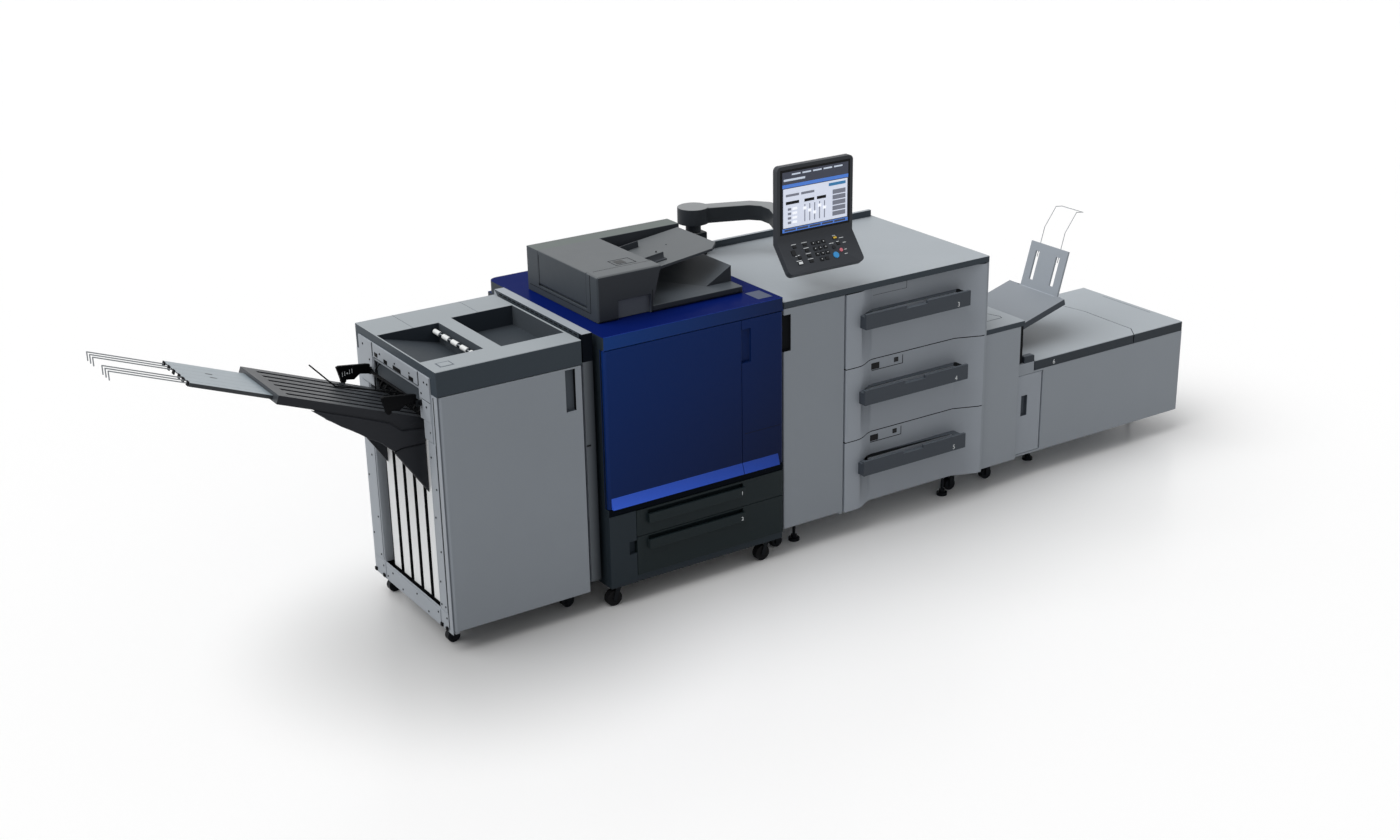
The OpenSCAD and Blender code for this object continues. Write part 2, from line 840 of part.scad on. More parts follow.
module tray_extension() placed() color("#96a2aa") tray_frame()
  translate([-out_len - ext_len, ext_y, out_floor + slide_gap - out_t]) difference() {
    cube([ext_len + ext_hidden, ext_w, ext_t]);
    // Channel on the underside that takes the wires
    span([-cut, ext_skin, -cut], [ext_len + ext_hidden + cut, ext_w - ext_skin, ext_t - ext_skin]);
  }

module tray_wires() placed() color("#d5dade") tray_frame()
  translate([-out_len - ext_len, ext_y + ext_w / 2,
    out_floor + slide_gap - out_t + ext_t - ext_skin - slide_gap - wire_r]) {
    for (side = [-1, 1])
      for (i = [-1:1])
        translate([0, side * wire_group + i * wire_pitch, 0]) {
          rotate([0, 90, 0]) translate([0, 0, -wire_len])
            cylinder(r = wire_r, h = wire_len + wire_in);
          translate([-wire_len, 0, 0]) sphere(r = wire_r);
          // Tip that hooks down at the far end
          translate([-wire_len, 0, 0]) rotate([0, -tray_slope, 0]) translate([0, 0, -wire_tip])
            cylinder(r = wire_r, h = wire_tip);
        }
    // Clip that joins the wires inside the extension
    translate([wire_in - wire_d, -wire_group - wire_pitch, -wire_r])
      cube([wire_d, 2 * wire_group + 2 * wire_pitch, wire_d]);
  }

module paper_arms() placed() color("#17181a") {
  rod_y(arm_pivot_x, arm_pivot_z, arm_pivot_r, paper_ear_y[0], paper_ear_y[1] + exit_ear_t);
  for (y = lever_y)
    profile_y(y, y + lever_t) translate([arm_pivot_x, arm_pivot_z]) {
      circle(r = 2 * arm_pivot_r);
      translate([-knob_share[0] * lever_len, knob_share[1] * lever_len]) circle(r = 2 * arm_pivot_r);
      polygon([for (p = lever_share) [-p[0] * lever_len, p[1] * lever_len]]);
    }
  // Thin bent feeler between the arms
  translate([arm_pivot_x, feeler_y, arm_pivot_z]) rotate([0, feeler_turn_1, 0])
    translate([-feeler_len_1, 0, 0]) {
    rotate([0, 90, 0]) cylinder(r = feeler_r, h = feeler_len_1);
    sphere(r = feeler_r);
    rotate([0, feeler_turn_2, 0]) translate([-feeler_len_2, 0, 0]) rotate([0, 90, 0])
      cylinder(r = feeler_r, h = feeler_len_2);
  }
}

module relay_unit() placed() color("#6a7077") difference() {
  union() {
    difference() {
      span([relay_x, relay_y, relay_z], [relay_x + relay_w, relay_y + relay_d, relay_h]);
      span([relay_x + sheet, relay_y + sheet, relay_z - cut],
        [relay_x + relay_w - sheet, relay_y + relay_d - sheet, relay_h - sheet]);
    }
    // Docking collars at both sides
    span([fin_x1, out_y - lug, relay_way_z - lug],
      [0, out_y + out_w + lug, relay_way_z + throat_h + lug]);
  }
  // Way for the sheets from the engine to the finisher
  span([fin_x1 - cut, out_y, relay_way_z], [cut, out_y + out_w, relay_way_z + throat_h]);
}

module engine_frame() placed() color("#24272b") {
  x0 = eng_cover_t;
  x1 = eng_w - eng_cover_t;
  y1 = eng_d - eng_cover_t;
  z1 = eng_top_z - seam;
  difference() {
    span([x0, eng_frame_y, eng_base_z], [x1, y1, z1]);
    // Hollow column beside the trays, and the hollow base, both open at the rear
    span([x0 + sheet, eng_frame_y + sheet, eng_base_z + sheet],
      [column_w - sheet, eng_d, tray_top_z - sheet]);
    span([column_w, eng_frame_y + sheet, eng_base_z + sheet], [x1 - sheet, eng_d, plinth_z - sheet]);
    // Bays of the two trays
    span([column_w, eng_frame_y - cut, tray_seam_z + sheet / 2],
      [x1 - sheet, y1 - sheet, tray_top_z - sheet]);
    span([column_w, eng_frame_y - cut, plinth_z], [x1 - sheet, y1 - sheet, tray_seam_z - sheet / 2]);
    // Print bay, with its inner plate left standing
    span([x0 + sheet, inner_y + sheet, tray_top_z], [x1 - sheet, y1 - sheet, z1 - sheet]);
    span([x0 + sheet, eng_frame_y - cut, tray_top_z], [x1 - sheet, inner_y, z1 - sheet]);
    for (z = [fuser_z, press_z])
      rod_y(fuser_x, z, shaft_r + pin_fit, inner_y - cut, y1 + cut);
    for (i = [0:drum_n - 1])
      rod_y(drum_x + i * drum_pitch, bottle_z, bottle_r + cut, inner_y - cut, inner_y + sheet + cut);
    for (c = [caster_left, caster_right])
      translate([c[0] + fork_trail, c[1], eng_base_z - cut])
        cylinder(r = stem_r + pin_fit, h = sheet + 2 * cut);
  }
  // Shelf under the toner bottles
  span([x0 + sheet, inner_y + sheet, bottle_z - bottle_r - sheet],
    [drum_x + (drum_n - 1) * drum_pitch + 2 * bottle_r, inner_y + bottle_len, bottle_z - bottle_r]);
  // Cover of the column, with a small pull at its edge
  difference() {
    span([0, 0, eng_base_z], [column_w - seam, eng_frame_y, tray_top_z]);
    span([column_w - 2 * lug, -cut, column_pull_z],
      [column_w + cut, pull_deep, column_pull_z + column_pull_h]);
  }
  // Plinth below the trays
  span([column_w, sheet, eng_base_z], [tray_x1, eng_frame_y, plinth_z - seam]);
}

module engine_covers() placed() color("#101a3c") {
  lip_z = tray_top_z + seam;
  difference() {
    span([0, eng_frame_y, eng_base_z], [eng_w, eng_d, eng_top_z]);
    span([eng_cover_t, eng_frame_y - cut, eng_base_z - cut],
      [eng_w - eng_cover_t, eng_d - eng_cover_t, eng_top_z + cut]);
  }
  // Lip below the doors, bored for their lower pins
  difference() {
    span([0, 2 * seam, lip_z], [eng_w, eng_frame_y, lip_z + eng_lip_h]);
    for (x = [eng_hinge_in, eng_w - eng_hinge_in])
      translate([x, door_t / 2, lip_z + eng_lip_h - pin_len - door_gap])
        cylinder(r = pin_r + pin_fit, h = lug);
  }
}

module engine_top() placed() color("#10186e") {
  block_y = adf_hinge_y - adf_knuckle_r;
  block_y1 = adf_hinge_y + adf_knuckle_r;
  difference() {
    union() {
      difference() {
        translate([0, 0, eng_top_z]) linear_extrude(height = eng_band_h) {
          square([eng_w, eng_d - eng_corner]);
          translate([eng_corner, 0]) square([eng_w - 2 * eng_corner, eng_d]);
          for (x = [eng_corner, eng_w - eng_corner])
            translate([x, eng_d - eng_corner]) circle(r = eng_corner);
        }
        span([skin, eng_frame_y, eng_top_z - cut], [eng_w - skin, eng_d - eng_corner, eng_h - skin]);
      }
      // Tub of the scanner
      span([glass_x - skin, glass_y - skin, scan_z - skin],
        [glass_x + glass_w + skin, glass_y + glass_d + skin, eng_h - skin]);
      // Hinge blocks of the feeder
      for (x = adf_hinges)
        span([x - lug, block_y, eng_h - skin], [x + 2 * lug, block_y1, adf_hinge_z + adf_knuckle_r]);
    }
    span([glass_x + glass_lap, glass_y + glass_lap, scan_z],
      [glass_x + glass_w - glass_lap, glass_y + glass_d - glass_lap, eng_h + cut]);
    span([glass_x, glass_y, eng_h - glass_t], [glass_x + glass_w, glass_y + glass_d, eng_h + cut]);
    for (x = [eng_hinge_in, eng_w - eng_hinge_in])
      translate([x, door_t / 2, eng_top_z - cut]) cylinder(r = pin_r + pin_fit, h = pin_len + 2 * cut);
    for (x = adf_hinges) {
      // Notch for the feeder's knuckle, and bores for its pin
      span([x - slide_gap, adf_y1 - cut, eng_h],
        [x + lug + slide_gap, block_y1 + cut, adf_hinge_z + adf_knuckle_r + cut]);
      rod_x(adf_hinge_y, adf_hinge_z, pin_r + pin_fit, x - lug / 2, x + 3 * lug / 2);
    }
  }
}

// Bright ledge that stands out along the bottom of an engine door
module door_ledge(x0, x1) {
  profile_x(x0, x1)
    polygon([[-door_t / 2, 0], [-door_t / 2 - ledge_out, 0], [-door_t / 2, ledge_h]]);
}

module engine_left_door() placed() color("#111d52")
  translate([eng_hinge_in, door_t / 2, eng_door_z]) {
    w = eng_seam_x - seam;
    door_leaf(w, eng_door_top_z - eng_door_z);
    door_ledge(0, w - door_t / 2);
  }

module engine_right_door() placed() color("#111d52")
  translate([eng_w - eng_hinge_in, door_t / 2, eng_door_z]) mirror([1, 0, 0]) {
    w = eng_w - eng_seam_x - seam;
    pulled_door(w, eng_door_top_z - eng_door_z, w - door_t / 2 - eng_pull_w, eng_pull_z - eng_door_z,
      eng_pull_w, eng_pull_h, cut);
    door_ledge(door_t / 2 + seam, w - door_t / 2);
  }

// Engine tray: an open tub behind a front with a grip and the finger gap above it
module engine_tray(z0, z1, tub_z, tub_z1, grip_z) {
  difference() {
    union() {
      span([tray_x, 0, z0], [tray_x1, tray_front_t, z1]);
      span([grip_x, -engine_grip_out, grip_z], [grip_x + grip_w, 0, grip_z + grip_h]);
      span([tray_x + tub_side, tray_front_t, tub_z], [tray_x1 - tub_side - sheet, tub_d, tub_z1]);
    }
    span([grip_x + tub_wall, -skin, grip_z + grip_h - pocket_h],
      [grip_x + grip_w - tub_wall, pull_deep, grip_z + grip_h + pocket_h / 2]);
    span([tray_x + tub_side + tub_wall, tray_front_t + tub_wall, tub_z + tub_wall],
      [tray_x1 - tub_side - sheet - tub_wall, tub_d - tub_wall, tub_z1 + cut]);
  }
}

module tray_1() placed() color("#22252a")
  engine_tray(tray_seam_z + seam, tray_top_z - seam, tray_seam_z + sheet / 2 + slide_gap,
    tray_top_z - tub_side - sheet, grip_1_z);

module tray_2() placed() color("#22252a")
  engine_tray(plinth_z, tray_seam_z - seam, plinth_z + slide_gap, tray_seam_z - tub_side - sheet, grip_2_z);

module imaging_drums() placed() color("#2d5f8a")
  for (i = [0:drum_n - 1]) {
    x = drum_x + i * drum_pitch;
    rod_y(x, drum_z, drum_r, inner_y + 2 * sheet, drum_len);
    rod_y(x, drum_z, shaft_r, inner_y + sheet, eng_d - eng_cover_t - sheet);
  }

module transfer_belt() placed() color("#3a3a3a") {
  x0 = drum_x - drum_r;
  difference() {
    union() {
      for (x = [x0, belt_x1]) rod_y(x, belt_z, belt_r, inner_y + 2 * sheet, drum_len);
      span([x0, inner_y + 2 * sheet, belt_z - belt_r], [belt_x1, drum_len, belt_z + belt_r]);
    }
    span([x0, inner_y, belt_z + belt_t - belt_r], [belt_x1, drum_len + cut, belt_z + belt_r - belt_t]);
  }
  for (x = [x0, belt_x1]) {
    rod_y(x, belt_z, belt_r - belt_t, inner_y + 2 * sheet, drum_len);
    rod_y(x, belt_z, shaft_r, inner_y + sheet, eng_d - eng_cover_t - sheet);
  }
}

module toner_bottles() placed() color("#e3e3df")
  for (i = [0:drum_n - 1]) {
    rod_y(drum_x + i * drum_pitch, bottle_z, bottle_r, eng_frame_y + 2 * sheet, bottle_len);
    rod_y(drum_x + i * drum_pitch, bottle_z, bottle_r - 2 * sheet, eng_frame_y, inner_y);
  }

module fuser_roller() placed() color("#5a2c22") {
  rod_y(fuser_x, fuser_z, fuser_r, inner_y + 2 * sheet, drum_len);
  rod_y(fuser_x, fuser_z, shaft_r, inner_y, eng_d - eng_cover_t - seam);
}

module pressure_roller() placed() color("#8a8f94") {
  rod_y(fuser_x, press_z, press_r, inner_y + 2 * sheet, drum_len);
  rod_y(fuser_x, press_z, shaft_r, inner_y, eng_d - eng_cover_t - seam);
}

module platen_glass() placed() color("#9fc0c8")
  span([glass_x, glass_y, eng_h - glass_t], [glass_x + glass_w, glass_y + glass_d, eng_h]);

module scan_carriage() placed() color("#2b2d30")
  span([glass_x + 2 * glass_lap, glass_y + glass_lap + 2 * seam, scan_z + slide_gap],
    [glass_x + 2 * glass_lap + carriage_w, glass_y + glass_d - glass_lap - 2 * seam,
    scan_z + carriage_h]);

module feeder_base() placed() color("#46494c") {
  bar_y = adf_y1 - adf_back_t;
  difference() {
    union() {
      span([adf_x, adf_y, adf_z], [adf_x1, adf_y1, adf_base_z1]);
      // Raised bed of the feed box
      span([adf_x, adf_y + adf_front_t, adf_base_z1], [adf_box_x1, bar_y, adf_z + plinth_h]);
      // Front of the feed box
      profile_y(adf_y, adf_y + adf_front_t)
        polygon([[adf_x, adf_base_z1], [adf_x, adf_top_z], [adf_box_x1, adf_top_z],
          [adf_box_x1 - front_slant, adf_base_z1]]);
      span([adf_x, bar_y, adf_base_z1], [adf_x1, adf_y1, adf_top_z - skin]);
      // Sloping stop at the end of the exit tray
      profile_y(wedge_y, bar_y)
        polygon([[wedge_x, adf_base_z1], [adf_x1, wedge_top_z], [adf_x1, adf_base_z1]]);
    }
    // Hollows of the front and of the rear bar
    span([adf_x + front_solid, adf_y + front_wall, adf_base_z1 + sheet],
      [adf_box_x1 - front_slant - sheet, adf_y + adf_front_t + cut, adf_top_z - sheet]);
    span([adf_x + sheet, bar_y + sheet, adf_z - cut],
      [adf_x1 - sheet, adf_y1 - sheet, adf_top_z - 2 * sheet]);
    // Finger grip, open below
    span([adf_grip_x, adf_y - cut, adf_z - cut], [adf_grip_x1, adf_y + pull_deep, adf_grip_z]);
    rod_y(cover_pin_x, cover_pin_z, pin_r + pin_fit, cover_y - pin_len - seam, cover_y1 + pin_len + seam);
    rod_y(doc_pin_x, doc_pin_z, doc_pin_r + pin_fit, bar_y - cut, bar_y + sheet + cut);
  }
  // Bracket for the front pin of the document tray
  difference() {
    span([doc_pin_x - lug / 2, doc_y - lug, adf_base_z1],
      [doc_pin_x + lug / 2, doc_y - lug / 2, doc_pin_z + lug / 2]);
    rod_y(doc_pin_x, doc_pin_z, doc_pin_r + pin_fit, doc_y - lug - cut, doc_y);
  }
  // Hinge knuckles at the rear
  for (x = adf_hinges) {
    span([x, adf_y1 - sheet, adf_hinge_z - adf_knuckle_r], [x + lug, adf_hinge_y, adf_hinge_z]);
    rod_x(adf_hinge_y, adf_hinge_z, adf_knuckle_r, x, x + lug);
    rod_x(adf_hinge_y, adf_hinge_z, pin_r, x - lug / 2, x + 3 * lug / 2);
  }
}

module feeder_cover() placed() color("#4a4d50") {
  difference() {
    union() {
      span([adf_x, cover_y, cover_pin_z], [adf_box_x1, cover_y1, adf_top_z - seam]);
      span([cover_pin_x, cover_y, cover_z], [adf_box_x1, cover_y1, cover_pin_z]);
      rod_y(cover_pin_x, cover_pin_z, cover_pin_in, cover_y, cover_y1);
    }
    // Room for the feed rollers, open below
    span([cover_pin_x + cover_pin_in, cover_y + cover_shell, cover_z - cut],
      [adf_box_x1 - cover_shell, cover_y1 - cover_shell, adf_top_z - seam - cover_shell]);
    // Throat where the sheets enter
    span([adf_box_x1 - 2 * cover_shell, doc_y, cover_z - cut],
      [adf_box_x1 + cut, cover_y1 - cover_shell, doc_z + lug]);
  }
  rod_y(cover_pin_x, cover_pin_z, pin_r, cover_y - pin_len, cover_y1 + pin_len);
}

// Frame of the document tray: X climbs along the tray and Z is square to it
module doc_frame() {
  translate([doc_pin_x, 0, doc_pin_z]) rotate([0, -doc_tilt, 0]) children();
}

module document_tray() placed() color("#3c3f42") doc_frame() {
  translate([0, 0, -doc_t / 2]) linear_extrude(height = doc_t)
    polygon([[0, doc_y], [doc_len - doc_chamfer, doc_y], [doc_len, doc_y + doc_chamfer],
      [doc_len, doc_y + doc_w], [0, doc_y + doc_w]]);
  rod_y(0, 0, doc_t / 2, doc_y, doc_y + doc_w);
  rod_y(0, 0, doc_pin_r, doc_y - lug, adf_y1 - adf_back_t + sheet);
}

// Side guide of the document tray; its foot lies away from the sheets
module side_guide(y, turned) {
  doc_frame() translate([lug, y, doc_t / 2 + slide_gap]) mirror([0, turned, 0]) {
    cube([guide_len, guide_t, guide_h]);
    translate([0, guide_t - guide_foot, 0]) cube([guide_len, guide_foot, guide_t]);
  }
}

module guide_front() placed() color("#2e3033") side_guide(guide_y, 0);

module guide_rear() placed() color("#2e3033") side_guide(2 * doc_y + doc_w - guide_y, 1);

module arm_post() placed() color("#484b4e") difference() {
  span([post_x, post_y, feed_top_z + feed_top_t], [post_x + post_w, post_y + post_d, post_top_z]);
  translate([pivot_x, pivot_y, post_top_z - spigot_len - seam])
    cylinder(r = spigot_r + pin_fit, h = spigot_len + seam + cut);
}

// Square across a step of a path, and one side of a band that follows the path with mitred corners
function across(v) = [-v[1], v[0]] / norm(v);
function band_side(p, i, w) =
  let (n0 = across(i > 0 ? p[i] - p[i - 1] : p[1] - p[0]),
    n1 = across(i < len(p) - 1 ? p[i + 1] - p[i] : p[i] - p[i - 1]),
    m = (n0 + n1) / norm(n0 + n1))
  p[i] + w / (m * n0) * m;

module swing_arm() placed() color("#4a4d50") {
  points = concat([for (p = arm_path_share) [pivot_x + p[0] * arm_reach, pivot_y + p[1] * arm_reach]],
    [[hub_x, hub_y + arm_w / 2 + hub_stem]]);
  n = len(points) - 1;
  difference() {
    union() {
      translate([0, 0, arm_z]) linear_extrude(height = arm_t) {
        polygon(concat([for (i = [0:n]) band_side(points, i, arm_w / 2)],
          [for (i = [n:-1:0]) band_side(points, i, -arm_w / 2)]));
        for (i = [0, n]) translate(points[i]) circle(r = arm_w / 2);
      }
      // Haunch over the post, and the spigot it turns on
      translate([pivot_x, pivot_y, post_top_z + slide_gap])
        cylinder(r = arm_w / 2 - 2 * seam, h = arm_haunch);
      translate([pivot_x, pivot_y, post_top_z - spigot_len])
        cylinder(r = spigot_r, h = spigot_len + seam);
      // Knuckle of the panel
      rod_x(hub_y, hub_z, hub_r, hub_x - hub_w / 2, hub_x + hub_w / 2);
    }
    rod_x(hub_y, hub_z, hub_pin_r + pin_fit, hub_x - hub_w, hub_x + hub_w);
  }
}

// Frame of the keypad: X runs along it, its face is the plane y = 0 and -Z runs down the slope
module key_frame() {
  translate([panel_x, screen_y, screen_z]) rotate([-key_tilt, 0, 0]) children();
}

// Corner of a square left outside a circle
module corner_off(r) {
  difference() {
    translate([-cut, -cut]) square([r + cut, r + cut]);
    translate([r, r]) circle(r = r);
  }
}

module panel_housing() placed() color("#414447") {
  x1 = panel_x + panel_w;
  z1 = screen_z + screen_h;
  back_y = screen_y + panel_t;
  fold = panel_t * tan(key_tilt / 2);
  toe_y = screen_y - key_len * sin(key_tilt);
  toe_z = screen_z - key_len * cos(key_tilt);
  difference() {
    union() {
      profile_x(panel_x, x1)
        polygon([[screen_y, z1], [screen_y, screen_z], [toe_y, toe_z],
          [toe_y + panel_t * cos(key_tilt), toe_z - panel_t * sin(key_tilt)],
          [back_y, screen_z - fold], [back_y, z1]]);
      // Ears and pin of the tilting joint
      for (x = [hub_x - hub_w / 2 - slide_gap - ear_t, hub_x + hub_w / 2 + slide_gap]) {
        span([x, ear_root_y, hub_z - hub_r], [x + ear_t, hub_y, hub_z + hub_r]);
        rod_x(hub_y, hub_z, hub_r, x, x + ear_t);
      }
      rod_x(hub_y, hub_z, hub_pin_r, hub_x - hub_w / 2 - ear_t, hub_x + hub_w / 2 + ear_t);
    }
    // Rounded corners of the screen part
    for (side = [0, 1])
      translate([panel_x + side * panel_w, back_y + cut, z1]) mirror([side, 0, 0]) rotate([90, 0, 0])
        linear_extrude(height = panel_t + 2 * cut) mirror([0, 1, 0]) corner_off(panel_r);
    // Rounded corners of the keypad part
    key_frame() for (side = [0, 1])
      translate([side * panel_w, panel_t + cut, -key_len]) mirror([side, 0, 0]) rotate([90, 0, 0])
        linear_extrude(height = panel_t + 2 * cut) corner_off(panel_r);
    // Seat of the screen
    span([panel_x + bezel, screen_y - cut, screen_z + bezel_low],
      [x1 - bezel, screen_y + screen_t, z1 - bezel]);
    // Pockets of the keys
    key_frame() {
      for (k = flat_keys)
        key_block(k, key_gap, -cut, key_pocket + key_travel + key_gap);
      for (k = round_keys)
        rod_y(k[0], -k[1], k[2] + key_gap, -cut, key_pocket + key_travel + key_gap);
    }
  }
}

// One flat key of the list: middle along X, middle down the slope, width and height
module key_block(k, grow, y0, y1) {
  span([k[0] - k[2] / 2 - grow, y0, -k[1] - k[3] / 2 - grow],
    [k[0] + k[2] / 2 + grow, y1, -k[1] + k[3] / 2 + grow]);
}

module panel_screen() placed() color("#2a4a78")
  span([panel_x + bezel, screen_y, screen_z + bezel_low],
    [panel_x + panel_w - bezel, screen_y + screen_t, screen_z + screen_h - bezel]);

module round_key(k) {
  key_frame() rod_y(k[0], -k[1], k[2], key_pocket - key_h, key_pocket);
}

module start_key() placed() color("#2f8fd0") round_key(round_keys[0]);

module stop_key() placed() color("#e08090") round_key(round_keys[1]);

module keypad_keys() placed() color("#26282b") {
  key_frame() for (k = flat_keys) key_block(k, 0, key_pocket - key_h, key_pocket);
  round_key(round_keys[2]);
}

module feed_cabinet() placed() color("#666d74") {
  bays = [[feed_z + sheet, seam_45_z - sheet / 2], [seam_45_z + sheet / 2, seam_34_z - sheet / 2],
    [seam_34_z + sheet / 2, feed_top_z - sheet]];
  door_back_y = feed_y + door_t + door_gap;
  hinge_x = feed_x + feed_door_w - door_t / 2;
  difference() {
    union() {
      span([feed_x, door_back_y, feed_z], [feed_div_x, feed_y1, feed_top_z]);
      span([feed_div_x - sheet, feed_open_y, feed_z], [feed_x1, feed_y1, feed_top_z]);
    }
    // Room behind the tall door
    span([feed_x + sheet, door_back_y - cut, feed_z + sheet],
      [feed_div_x - sheet, feed_y1 - sheet, feed_top_z - sheet]);
    for (b = bays)
      span([feed_div_x, feed_open_y - cut, b[0]], [feed_x1 - sheet, feed_y1 - sheet, b[1]]);
  }
  // Docking plate that meets the engine
  span([eng_w, feed_open_y + 2 * lug, feed_z + sheet],
    [feed_x + seam, feed_y1 - 2 * lug, feed_z + dock_pad_h]);
  // Edge strip right of the drawers
  span([drawer_x1 + seam, feed_y, feed_z], [feed_x1, feed_open_y, feed_top_z]);
  // Lower hinge lug of the tall door
  difference() {
    span([hinge_x - lug / 2, feed_y + sheet, feed_z],
      [hinge_x + lug / 2, door_back_y + lug, feed_z + pin_len]);
    translate([hinge_x, feed_y + door_t / 2, feed_z - cut])
      cylinder(r = pin_r + pin_fit, h = pin_len + 2 * cut);
  }
}

module feed_top() placed() color("#a3abb0") {
  difference() {
    span([feed_x - feed_overhang, feed_y - feed_overhang, feed_top_z],
      [feed_x1, feed_y1 + feed_overhang, feed_top_z + feed_top_t]);
    span([feed_x + sheet, feed_y + door_t + door_gap, feed_top_z - cut],
      [feed_x1 - sheet, feed_y1 - sheet, feed_top_z + feed_top_t - sheet]);
    translate([feed_x + feed_door_w - door_t / 2, feed_y + door_t / 2, feed_top_z - cut])
      cylinder(r = pin_r + pin_fit, h = pin_len + 2 * cut);
  }
  // Low kerb along the rear edge
  span([kerb_x, feed_y1 - kerb_t, feed_top_z + feed_top_t],
    [feed_x1 - kerb_end, feed_y1, feed_top_z + feed_top_t + kerb_h]);
}

module feed_door() placed() color("#767d84")
  translate([feed_x + feed_door_w - door_t / 2, feed_y + door_t / 2, feed_z + pin_len + door_gap])
    mirror([1, 0, 0])
      pulled_door(feed_door_w, feed_top_z - feed_z - pin_len - 2 * door_gap,
        feed_door_w - door_t / 2 - feed_pull_w, feed_pull_z - feed_z - pin_len - door_gap,
        feed_pull_w, feed_pull_h, cut);

// Feed drawer: open tub, shaped front and a handle bar with its finger gap behind raised lips
module feed_drawer(z0, z1, tub_z, tub_z1, grip_z) {
  x0 = feed_div_x + drawer_tub_side;
  x1 = feed_x1 - sheet - drawer_tub_side;
  lip_z = grip_z + bar_h;
  difference() {
    union() {
      translate([0, 0, z0]) linear_extrude(height = z1 - z0)
        polygon(front_outline);
      span([bar_x, -grip_out, grip_z], [bar_x + bar_w, feed_y + face_deep, lip_z]);
      span([bar_x, -grip_out, lip_z - seam], [bar_x + bar_cut_x, bar_lip - grip_out, lip_z + bar_lip]);
      span([bar_x + bar_cut_x + bar_cut_w, -grip_out, lip_z - seam],
        [bar_x + bar_w, bar_lip - grip_out, lip_z + bar_lip]);
      span([x0, face_inner_y, tub_z], [x1, face_inner_y + drawer_tub_d, tub_z1]);
    }
    span([bar_x + (bar_w - finger_w) / 2, 2 * bar_lip - grip_out, grip_z + bar_lip],
      [bar_x + (bar_w + finger_w) / 2, 2 * bar_lip - grip_out + finger_deep, lip_z + cut]);
    span([x0 + tub_wall, face_inner_y + tub_wall, tub_z + tub_wall],
      [x1 - tub_wall, face_inner_y + drawer_tub_d - tub_wall, tub_z1 + cut]);
  }
}

module drawer_3() placed() color("#6d747b")
  feed_drawer(seam_34_z + seam, feed_top_z - face_gap, seam_34_z + sheet / 2 + slide_gap,
    feed_top_z - bar_t - sheet, seam_34_z + bar_under + sheet);

module drawer_4() placed() color("#6d747b")
  feed_drawer(seam_45_z + seam, seam_34_z - seam, seam_45_z + sheet / 2 + slide_gap,
    seam_34_z - bar_t - sheet, seam_45_z + bar_under - sheet / 2);

module drawer_5() placed() color("#6d747b")
  feed_drawer(feed_z + face_gap, seam_45_z - seam, feed_z + sheet + slide_gap, seam_45_z - bar_t - sheet,
    feed_z + bar_under);

module tower_cabinet() placed() color("#737a81") {
  z1 = tower_h - tower_top_t;
  way_z = bypass_z + bypass_t / 2 + seam;
  difference() {
    union() {
      span([tower_x, tower_y, lu_z], [tower_x1, tower_y + tower_d, z1]);
      // Docking plate
      span([feed_x1, lu_y + lug, lu_z + sheet],
        [tower_x + seam, lu_y1 - lug, lu_z + dock_pad_h]);
      // Dark spine that carries the bypass tray
      span([tower_x1, spine_y, spine_z], [tower_x1 + spine_w, lu_y1 - lug, z1]);
    }
    span([tower_x + sheet, tower_y + sheet, lu_z + sheet],
      [tower_x1 - sheet, tower_y + tower_d - sheet, z1 + cut]);
    span([tower_x1, spine_y + sheet, spine_z + sheet],
      [tower_x1 + spine_w - sheet, lu_y1 - lug - sheet, z1 + cut]);
    // Way for the sheets from the bypass tray
    span([tower_x1 - sheet - cut, bypass_y + lug, way_z],
      [tower_x1 + spine_w + cut, bypass_y + bypass_w - lug, way_z + throat_h]);
  }
  for (y = [bypass_y - slide_gap - bypass_ear, bypass_y + bypass_w + slide_gap])
    difference() {
      span([tower_x1 + spine_w, y, bypass_z - bypass_ear], [bypass_x + bypass_ear, y + bypass_ear,
        bypass_z + bypass_ear]);
      rod_y(bypass_x, bypass_z, bypass_pin_r + pin_fit, y - cut, y + bypass_ear + cut);
    }
}

module tower_top() placed() color("#8b9298") difference() {
  z0 = tower_h - tower_top_t;
  span([tower_x, tower_y, z0], [tower_x1 + tower_over, tower_y + tower_d, tower_h]);
  span([tower_x + sheet, tower_y + sheet, z0 - cut],
    [tower_x1 + tower_over - sheet, tower_y + tower_d - sheet, tower_h - sheet]);
}

// Frame of the bypass tray: X climbs along the tray and Z is square to it
module bypass_frame() {
  translate([bypass_x, 0, bypass_z]) rotate([0, -bypass_slope, 0]) children();
}

